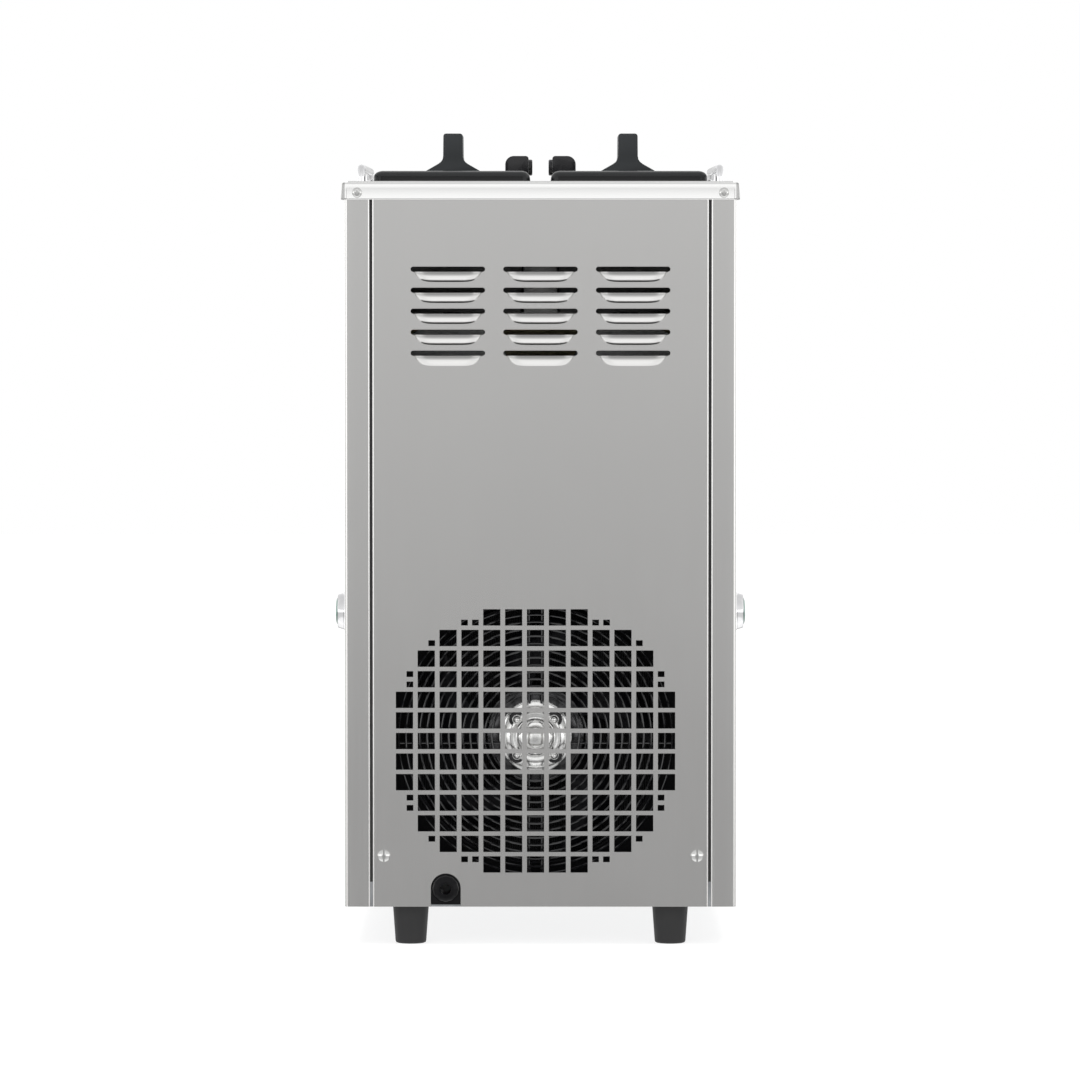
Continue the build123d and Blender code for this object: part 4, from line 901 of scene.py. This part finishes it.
rubber = surface("rubber", rubbery, Specular_IOR_Level=0.35)
FOOT_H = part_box("base_tray")[0][2]
FOOT_X, FRONT_FOOT_IN, REAR_FOOT_IN = 0.1305, 0.038, 0.030
foot = lathe("foot", [(0.0006, 0.0015), (0.0060, 0.0015), (0.0065, 0.0), (0.0136, 0.0), (0.0148, 0.0005),
                      (0.0155, 0.0019), (0.0180, FOOT_H - 0.0022), (0.0182, FOOT_H - 0.0012),
                      (0.0182, FOOT_H)], turns=64)
soles = [(sx * FOOT_X, y, 0) for sx in (-1, 1)
         for y in (FRONT_FACE + FRONT_FOOT_IN, REAR_FACE - REAR_FOOT_IN)]
repeated("rubber_feet", foot, soles, (0, 0, 0), rubber, ("feet",), crease=50)


# ---------------------------------------------------------------- seam shade strips
# A black rubber strip set into each seam between the rear panel's hem and the side's flange: painted shade
# filling the dark gap.
SEAM, SHADE_STRIP_FACE, SHADE_STRIP_DEEP = (0.16850, 0.17040), 0.0014, 0.0080
for name, side in SIDES.items():
    face = [(SEAM[0], -0.0006), (SEAM[0] + 0.0003, 0.0), (SEAM[1] - 0.0003, 0.0), (SEAM[1], -0.0006),
            (SEAM[1], -SHADE_STRIP_DEEP), (SEAM[0], -SHADE_STRIP_DEEP)]
    rings = [[(side * x, REAR_FACE - SHADE_STRIP_FACE + y, z) for x, y in face] for z in (PANEL_LOW, PANEL_TOP)]
    # each strip is a black sheet standing for the shade in the seam's gap
    fit(f"seam_seal_{name}", closed(*stacked(rings), "seal"), rubber, "cabinet")


# ---------------------------------------------------------------- cable gland
# A ribbed nylon gland in the notch at the panel's foot, on a black bracket. It takes the mains lead.
enamel = surface("black_enamel", moulded((0.005, 0.005, 0.006), 0.34, 350), Specular_IOR_Level=0.15)
dress(enamel, "gland_plate")
gland_nylon = surface("gland_nylon", moulded((0.0025, 0.0025, 0.003), 0.32, 800), Specular_IOR_Level=0.14)
BORE = 0.0055
nut = [(BORE, -0.024), (BORE, 0.0078), (0.0092, 0.0080), (0.0118, 0.0068), (0.0130, 0.0046), (0.0132, 0.0006),
       (0.0142, 0.0004), (0.0142, -0.0031), (0.0100, -0.0032), (0.0100, -0.024)]
gland = lathe("nut", nut, "Y", (NOTCH_X, REAR_FACE, NOTCH_Z), 96, closed_loop=True, lobes=12,
              lobe_depth=0.035)
fit("gland_nut", gland, gland_nylon, "cabinet", ("cable_gland",))


# ---------------------------------------------------------------- fan guard
# Round wire rings welded on pairs of struts, dipped black. Its hub plate carries the motor.
wire_coat = surface("black_wire_coat", moulded((0.008, 0.008, 0.009), 0.14, 260), Coat_Roughness=0.08,
                    Coat_Weight=0.35)
FAN_X, FAN_Z, GUARD_Y = 0.005, 0.208, 0.3015
RING_FIRST, RING_PITCH, RINGS, WIRE_R = 0.044, 0.0072, 14, 0.0012
STRUT_IN, STRUT_HALF_GAP, STRUT_DROP, STRUT_DEEP = 0.034, 0.006, -0.0022, -0.040
guard, board, entry = node_group("fan_guard", ("First radius", "Float"), ("Pitch", "Float"),
                                 ("Wire radius", "Float"))
struts_in, first_in, pitch_in, wire_in = (Wire(board, entry.outputs[k]) for k in range(4))
spots = board.node("GeometryNodeMeshLine", sockets={"Count": RINGS, "Offset": (0, 0, 0)})
reach = board.node("GeometryNodeInputIndex") * pitch_in + first_in
rings = board.node("GeometryNodeInstanceOnPoints", sockets={
    "Points": spots, "Scale": board.node("ShaderNodeCombineXYZ", sockets={0: reach, 1: reach, 2: reach}),
    "Instance": board.node("GeometryNodeCurvePrimitiveCircle", sockets={"Radius": 1.0, "Resolution": 96})})
lines = board.node("GeometryNodeJoinGeometry", sockets={0: [
    board.node("GeometryNodeRealizeInstances", sockets={0: rings}),
    board.node("GeometryNodeMeshToCurve", sockets={0: struts_in})]})
wires = board.node("GeometryNodeCurveToMesh", sockets={
    "Curve": lines, "Fill Caps": True, "Profile Curve": board.node(
        "GeometryNodeCurvePrimitiveCircle", sockets={"Radius": wire_in, "Resolution": 8})})
real = board.node("GeometryNodeRealizeInstances", sockets={0: wires})
board.node("NodeGroupOutput", sockets={0: board.node(
    "GeometryNodeSetMaterial", sockets={0: real, "Material": wire_coat})})
RIM = RING_FIRST + (RINGS - 1) * RING_PITCH
struts, edges = [], []
for k in range(4):
    turn = Matrix.Rotation(math.pi / 2 * k, 3, "Z")
    for offset in (-STRUT_HALF_GAP, STRUT_HALF_GAP):
        edges += [(len(struts), len(struts) + 1), (len(struts) + 1, len(struts) + 2)]
        struts += [turn @ Vector(p) for p in ((STRUT_IN, offset, STRUT_DROP), (RIM, offset, STRUT_DROP),
                                              (RIM + 0.001, offset, STRUT_DEEP))]
strut_mesh = bpy.data.meshes.new("struts")
strut_mesh.from_pydata(struts, edges, [])
guard_mesh = grown(placed("guard_maker", strut_mesh), guard, {
    "First radius": RING_FIRST, "Pitch": RING_PITCH, "Wire radius": WIRE_R})
guard_mesh.transform(Matrix.Translation((FAN_X, GUARD_Y, FAN_Z)) @ Matrix.Rotation(math.radians(-90), 4, "X"))
fit("fan_guard_wires", guard_mesh, wire_coat, "cabinet", ("fan_guard",))


# ---------------------------------------------------------------- fan motor and rotor
# A turned and polished aluminium motor hangs on four acorn bolts. The rotor has five swept steel
# blades on a dark pressed hub, and both sit in a black duct.
polished_cast = surface("polished_cast", clouded(420, (0.80, 0.80, 0.79), (0.95, 0.95, 0.94), 0.12, 0.18,
                                                 (0.25, 0.0002)), Metallic=1.0)
MOTOR_Y, FLANGE_Y, NUT_Y, BOLT_X, BOLT_Z = 0.300, 0.3014, 0.3022, 0.0185, 0.0178
FINS, FIN_PITCH = 5, 0.0048
body = [(0.0300, -0.030), (0.0350, -0.027)]
for k in range(FINS):
    body += [(r, z + k * FIN_PITCH) for r, z in ((0.0360, -0.025), (0.0360, -0.0222), (0.0338, -0.0218),
                                                 (0.0338, -0.0206))]
body += [(0.0360, -0.0040), (0.0352, -0.0018), (0.0322, -0.0010), (0.0300, -0.0012), (0.0290, 0.0010),
         (0.0262, 0.0024), (0.0225, 0.0028), (0.0205, 0.0020), (0.0190, 0.0024), (0.0172, 0.0052),
         (0.0140, 0.0066), (0.0112, 0.0064), (0.0104, 0.0072), (0.0094, 0.0094), (0.0060, 0.0104),
         (0.0002, 0.0106)]
fit("fan_motor_body", lathe("motor", body, "Y", (FAN_X, MOTOR_Y, FAN_Z), 64), polished_cast, "cabinet",
    ("fan_motor",))
lug = lathe("lug", [(0.0002, -0.0040), (0.0078, -0.0040), (0.0082, -0.0034), (0.0082, 0.0),
                    (0.0076, 0.0008), (0.0002, 0.0008)], turns=24)
acorn = lathe("acorn", [(0.0048, 0), (0.0048, 0.0018), (0.0040, 0.0024), (0.0040, 0.0040), (0.0034, 0.0060),
                        (0.0020, 0.0074), (0.0001, 0.0078)], turns=24)
for name, mesh, y, material, slot in (("fan_guard_lugs", lug, FLANGE_Y, wire_coat, "black_wire"),
                                      ("fan_motor_bolts", acorn, NUT_Y, polished_cast, "cast_aluminium")):
    places = [(FAN_X + sx * BOLT_X, y, FAN_Z + sz * BOLT_Z) for sx in (-1, 1) for sz in (-1, 1)]
    repeated(name, mesh, places, (-90, 0, 0), material)
dark_pressing = surface("dark_pressing", clouded(60, (0.07, 0.07, 0.072), (0.11, 0.11, 0.112), 0.14, 0.1),
                        Metallic=1.0)
blade_coat = surface("blade_enamel", moulded((0.004, 0.004, 0.005), 0.22, 120), Specular_IOR_Level=0.12)
HUB_Y, SHAFT_Y, BLADE_Y = 0.2600, 0.2700, 0.2596
hub = lathe("hub", [(0.012, 0.0105), (0.044, 0.0100), (0.0485, 0.0080), (0.0500, 0.0040), (0.0500, -0.0110),
                    (0.0470, -0.0118), (0.012, -0.0120)], "Y", (FAN_X, HUB_Y, FAN_Z), 72)
fit("fan_hub", hub, dark_pressing, "fan")
shaft = lathe("shaft", [(0.005, -0.013), (0.005, 0.012)], "Y", (FAN_X, SHAFT_Y, FAN_Z), 24)
fit("fan_shaft", shaft, turned_steel, "fan")
BLADE_ROOT, BLADE_END = 0.049, 0.1215
BLADES, SPAN, CHORD = 5, 14, 12
points, faces = [], []
for blade in range(BLADES):
    start = len(points)
    for i in range(SPAN + 1):
        u = i / SPAN
        r = BLADE_ROOT + (BLADE_END - BLADE_ROOT) * u
        middle = 2 * math.pi * blade / BLADES + 0.62 * u ** 1.6
        reach = 0.46 + 0.20 * math.sin(math.pi * min(u * 1.15, 1.0)) - 0.22 * u ** 6
        for j in range(CHORD + 1):
            v = j / CHORD - 0.5
            a = middle + v * reach
            dish = 0.0035 * (1 - 4 * v * v)
            points.append((FAN_X + r * math.cos(a), BLADE_Y + v * 0.0205 * (1 - 0.25 * u) + dish,
                           FAN_Z + r * math.sin(a)))
    for i in range(SPAN):
        for j in range(CHORD):
            a = start + i * (CHORD + 1) + j
            faces.append((a, a + 1, a + CHORD + 2, a + CHORD + 1))
blades = bpy.data.meshes.new("blades")
blades.from_pydata(points, [], faces)
holder = placed("blade_maker", blades)
skin = holder.modifiers.new("skin", "SOLIDIFY")
skin.thickness, skin.offset = 0.0014, 0
blades = plain_copy(holder).data
bpy.data.objects.remove(holder)
fit("fan_blades", blades, blade_coat, "fan", ("fan_rotor",))
dress(enamel, "fan_shroud", "compressor")


# ---------------------------------------------------------------- side buttons
# A chrome bezel on each side holds a domed green push cap.
green_cap = surface("green_cap", clouded(120, (0.004, 0.090, 0.060), (0.010, 0.140, 0.090), 0.12, 0.08),
                    Coat_Roughness=0.04, Coat_Weight=0.6)
BEZEL = [(0.0146, -0.012), (0.0146, 0.0080), (0.0152, 0.0090), (0.0162, 0.0090), (0.0172, 0.0080),
         (0.0180, 0.0048), (0.0184, 0.0030), (0.0196, 0.0024), (0.0200, 0.0014), (0.0200, 0.0),
         (0.0159, 0.0), (0.0159, -0.012)]
CAP = [(0.0143, -0.0055), (0.0143, 0.0074), (0.0139, 0.0088), (0.0126, 0.0099), (0.0100, 0.0106),
       (0.0060, 0.0109), (0.0002, 0.0110)]
for name, side in SIDES.items():
    way, centre = "X" if side > 0 else "-X", (side * WALL, KEY_Y, KEY_Z)
    fit(f"side_bezel_{name}", lathe("bezel", BEZEL, way, centre, 72, closed_loop=True), chrome, "cabinet",
        ("side_bezels",) if side < 0 else ())
    fit(f"side_cap_{name}", lathe("cap", CAP, way, centre, 72), green_cap, f"side_button_{name}",
        (f"side_key_{name}",))


# ---------------------------------------------------------------- dispensing door
# A thick block machined and flame-polished from clear plastic, with three valve columns. It presses
# two white rings against the cylinders.
def eased_copy(node, bevel, material, body):
    """A CAD node's own form with its sharp edges eased."""
    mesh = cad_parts[node].data.copy()
    mesh.materials.clear()
    shape = bmesh.new()
    shape.from_mesh(mesh)
    bmesh.ops.remove_doubles(shape, verts=shape.verts, dist=2e-6)
    bmesh.ops.dissolve_limit(shape, angle_limit=math.radians(1.2), verts=shape.verts, edges=shape.edges)
    shape.to_mesh(mesh)
    shape.free()
    return fit(f"{node}_eased", mesh, material, body, (node,), bevel=bevel, steps=2)


clear_block = surface("clear_block", clouded(24, (0.93, 0.95, 0.95), (0.97, 0.98, 0.98), 0.03, 0.07),
                      IOR=1.49, Transmission_Weight=1.0)
white_ring = surface("white_ring", moulded((0.60, 0.60, 0.58), 0.40, 700))
SEAT_GAP, door_back = 0.0003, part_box("freezer_door")[1][1]
door = eased_copy("freezer_door", 0.0, clear_block, "cabinet")
for point in door.data.vertices:
    if point.co.y > door_back - 1e-5:
        point.co.y -= SEAT_GAP
door.visible_shadow = False
dress(white_ring, "door_seals")


# ---------------------------------------------------------------- hand nuts
# Five-lobed black knobs draw the door down on four stainless studs. Each is one moulding with a plain
# flat face round its stud.
NUT_R, NUT_DEEP, DOOR_DEEP, STUD_X, STUD_Z = 0.0170, 0.0200, 0.057, 0.150, (0.515, 0.605)
profile = [(0.0105, 0.0), (0.0110, 0.0004), (0.0110, 0.0030), (0.0158, 0.0032), (0.0168, 0.0042),
           (NUT_R, 0.0060), (NUT_R, 0.0155), (0.0160, 0.0180), (0.0140, 0.0195), (0.0120, NUT_DEEP),
           (0.0085, NUT_DEEP), (0.0075, NUT_DEEP - 0.0010), (0.0042, NUT_DEEP - 0.0010), (0.0042, 0.0)]
hand_nut = lathe("hand_nut", profile, turns=90, closed_loop=True, lobes=5, lobe_depth=0.17)
studs = [(sx * STUD_X, FRONT_FACE - DOOR_DEEP, z) for sx in (-1, 1) for z in STUD_Z]
repeated("hand_nut_set", hand_nut, studs, (90, 0, 0), black_moulding, ("hand_nuts",))


# ---------------------------------------------------------------- draw levers
# Polished stainless levers on one pin, each with a rounded tip in its piston's slot. A tapered black
# grip is screwed on the end of each arm.
LEVERS = {"left": -0.092, "centre": 0.0, "right": 0.092}
PIN_Y, PIN_Z, PISTON_Y, TIP_R = -0.260, 0.652, -0.2260, 0.005
LEAN = Matrix.Rotation(math.radians(35), 4, "X")
ARM = [(0.0045, 0.004), (0.0045, 0.0520), (0.0058, 0.0535), (0.0058, 0.0572), (0.0040, 0.0574),
       (0.0040, 0.0600)]
HUB = [(0.0041, -0.0115), (0.0084, -0.0120), (0.0090, -0.0114), (0.0090, 0.0114), (0.0084, 0.0120),
       (0.0041, 0.0115)]
GRIP = [(0.0046, 0.0570), (0.0066, 0.0572), (0.0074, 0.0580), (0.0076, 0.0600), (0.0074, 0.0612),
        (0.0072, 0.0618), (0.0076, 0.0624), (0.0080, 0.0634), (0.0090, 0.0740), (0.0099, 0.0840),
        (0.0104, 0.0885), (0.0103, 0.0915), (0.0094, 0.0940), (0.0076, 0.0955), (0.0050, 0.0959),
        (0.0002, 0.0960)]
for name, x in LEVERS.items():
    centre, body = (x, PIN_Y, PIN_Z), f"lever_{name}"
    leaning = Matrix.Translation(centre) @ LEAN
    arm, grip = lathe("arm", ARM, turns=32), lathe("grip", GRIP)
    for mesh in (arm, grip):
        mesh.transform(leaning)
    shape = [(PIN_Y + 0.0055, PIN_Z - 0.004), (PISTON_Y, PIN_Z - TIP_R),
             *bend((PISTON_Y, PIN_Z), TIP_R, -80, 80, 10),
             (PISTON_Y, PIN_Z + TIP_R), (PIN_Y + 0.0055, PIN_Z + 0.004)]
    rings = [[(x + w, y, z) for y, z in shape] for w in (-0.005, 0.005)]
    fit(f"draw_lever_{name}_arm", arm, turned_steel, body, (f"draw_lever_{name}",))
    fit(f"draw_lever_{name}_hub", lathe("hub", HUB, "X", centre, closed_loop=True), turned_steel, body)
    fit(f"draw_lever_{name}_tip", closed(*stacked(rings), "tip"), turned_steel, body,
        bevel=0.0005)
    fit(f"draw_lever_{name}_grip", grip, gloss_moulding, body)


# ---------------------------------------------------------------- pistons and nozzles
# Milk-white plastic pistons run in the columns, with black rings in their grooves. The screw caps
# under the columns have a star cut through them.
milk_plastic = surface("milk_plastic", moulded((0.66, 0.66, 0.64), 0.34, 900), Subsurface_Weight=0.1,
                       Subsurface_Scale=0.004)
RING = [(0.0122, -0.0012), (0.0132, -0.0014), (0.01385, -0.0008), (0.01385, 0.0008), (0.0132, 0.0014),
        (0.0122, 0.0012)]
LOW_RING_UP, HIGH_RING_Z = 0.0045, 0.6015
for name, x in LEVERS.items():
    eased_copy(f"draw_piston_{name}", 0.0006, milk_plastic, f"piston_{name}")
    (_, _, foot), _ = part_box(f"draw_piston_{name}")
    for label, level in (("low", foot + LOW_RING_UP), ("high", HIGH_RING_Z)):
        ring = lathe("ring", RING, "Z", (x, PISTON_Y, level), 40, closed_loop=True)
        fit(f"piston_ring_{name}_{label}", ring, rubber, f"piston_{name}")
eased_copy("star_nozzles", 0.0005, milk_plastic, "cabinet")


# ---------------------------------------------------------------- drip tray
# Folded stainless tray on runners, with a slotted plate that lifts out.
eased_copy("drip_tray", 0.0006, bright_steel, "tray")
eased_copy("drip_grid", 0.0006, bright_steel, "tray_grid")


# ---------------------------------------------------------------- control surround
# Black moulded surround with a smoked window over a red segment display. Round keys in chrome rings
# and the mains rocker stand in it.
FACE, KEY_LEVEL = FRONT_FACE - 0.008, 0.706
eased_copy("control_fascia", 0.0004, black_moulding, "cabinet")
smoked = surface("smoked_window", moulded((0.010, 0.010, 0.012), 0.10, 60), Coat_Roughness=0.03,
                 Coat_Weight=0.7)
dress(smoked, "display_window")


def glowing(board):
    """A lit segment, its red uneven."""
    flicker = noise(board, 400)
    return {"Base Color": blend(board, flicker, (0.30, 0.01, 0.01), (0.36, 0.02, 0.01)),
            "Emission Color": blend(board, flicker, (1.0, 0.05, 0.02), (1.0, 0.10, 0.04)),
            "Roughness": flicker * 0.1 + 0.3}


segment_light = surface("segment_light", glowing, Emission_Strength=1.6)
# each segment's column, row and whether it stands up
SEGMENTS = {"a": (0, 2, 0), "b": (1, 1, 1), "c": (1, -1, 1), "d": (0, -2, 0), "e": (-1, -1, 1),
            "f": (-1, 1, 1), "g": (0, 0, 0)}
SHOWN = (("g",), tuple("abcdef"), tuple("afgedc"))
DIGIT_PITCH, COLUMN, ROW, LONG, WIDE = 0.019, 0.0052, 0.0050, 0.0043, 0.0011
BAR = [(-LONG, 0), (-LONG + WIDE, WIDE), (LONG - WIDE, WIDE), (LONG, 0), (LONG - WIDE, -WIDE),
       (-LONG + WIDE, -WIDE)]
points, faces = [], []
for digit, lit in enumerate(SHOWN):
    for key in lit:
        column, row, upright = SEGMENTS[key]
        x, z = (digit - 1) * DIGIT_PITCH + column * COLUMN, KEY_LEVEL + row * ROW
        ring = [(x + (b if upright else a), z + (a if upright else b)) for a, b in BAR]
        start = len(points)
        points += [(p, y, q) for y in (FACE - 0.00025, FACE + 0.0004) for p, q in ring]
        faces += [tuple(start + i for i in range(6)), tuple(start + 11 - i for i in range(6))]
        faces += [(start + i, start + (i + 1) % 6, start + 6 + (i + 1) % 6, start + 6 + i) for i in range(6)]
fit("display_digits", closed(points, faces, "digits"), segment_light, "cabinet")
KEYS = {"chill": (0.078, "blue_plastic", (0.02, 0.10, 0.34)),
        "wash": (0.106, "white_plastic", (0.62, 0.62, 0.60)),
        "stop": (0.134, "red_plastic", (0.42, 0.02, 0.02))}
KEY_RING = [(0.0083, 0.0), (0.0083, 0.0014), (0.0089, 0.0020), (0.0100, 0.0019), (0.0112, 0.0008),
            (0.0113, 0.0)]
for name, (x, slot, tint) in KEYS.items():
    low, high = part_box(f"key_{name}")
    deep = high[1] - low[1]
    key = lathe("key", [(0.0079, 0.0), (0.0079, deep - 0.0014), (0.0072, deep - 0.0004), (0.0060, deep),
                        (0.0040, deep - 0.0005), (0.0002, deep - 0.0009)], "-Y", (x, high[1], KEY_LEVEL))
    fit(f"key_{name}_cap", key, surface(f"{name}_key", moulded(tint, 0.28, 500)), f"button_{name}",
        (f"key_{name}",))
    fit(f"key_{name}_ring", lathe("ring", KEY_RING, "-Y", (x, FACE, KEY_LEVEL), closed_loop=True), chrome,
        "cabinet")
eased_copy("power_rocker", 0.0005, gloss_moulding, "mains_switch")


# ---------------------------------------------------------------- condenser and copper
# A finned block: thin aluminium plates pressed on copper tube, painted near black as painted shade
# behind the fan, with painted highlights along the plates' edges. The pipes are drawn copper, dulled by
# handling.
FINS_TO_METRE = 420


def fins_with_painted_shade(board):
    """Thin plates side by side: near black as painted shade, lighter at their edges as painted highlights."""
    sideways = board.node("ShaderNodeSeparateXYZ", sockets={0: board.node("ShaderNodeTexCoord", out="Object")})
    fin = abs(board.node("ShaderNodeMath", {"operation": "FRACT"}, {0: sideways * FINS_TO_METRE}) - 0.5) * 2
    dust = noise(board, 25)
    return {"Base Color": blend(board, fin, (0.002, 0.002, 0.002), (0.018, 0.018, 0.019)),
            "Roughness": dust * 0.2 + 0.4, "Normal": bump(board, fin, 0.8, 0.001)}


# near-black fins with lighter edges: painted shade and painted highlight
dress(surface("condenser_fins", fins_with_painted_shade, Specular_IOR_Level=0.10), "condenser")
dress(surface("drawn_copper", clouded(50, (0.52, 0.24, 0.13), (0.78, 0.42, 0.27), 0.2, 0.25), Metallic=1.0),
      "copper_pipes")


# ---------------------------------------------------------------- cylinders and drive
# Jacketed stainless cylinders in poured foam, driven through cast gearboxes by one motor and two
# ribbed belts.
def foamed(board):
    """Poured foam: fine cells under a skin of uneven colour."""
    cells, rind = noise(board, 500), noise(board, 16)
    return {"Base Color": blend(board, rind, (0.60, 0.50, 0.30), (0.72, 0.63, 0.42)),
            "Roughness": cells * 0.2 + 0.7, "Normal": bump(board, cells, 0.6, 0.0006)}


raw_cast = surface("raw_cast", clouded(700, (0.42, 0.43, 0.43), (0.58, 0.58, 0.57), 0.4, 0.2, (0.5, 0.0003)),
                   Metallic=0.9)
grey_enamel = surface("grey_enamel", moulded((0.12, 0.13, 0.14), 0.38, 420))
dress(bright_steel, "freezing_cylinders")
dress(surface("poured_foam", foamed), "insulation_block")
dress(raw_cast, "gearboxes", "gearbox_pulley_left", "gearbox_pulley_right", "motor_pulley")
dress(grey_enamel, "drive_motor")
dress(rubber, "drive_belts")

size = {"cad": [list(v) for v in cad_box], "visual": [list(v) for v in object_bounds()]}
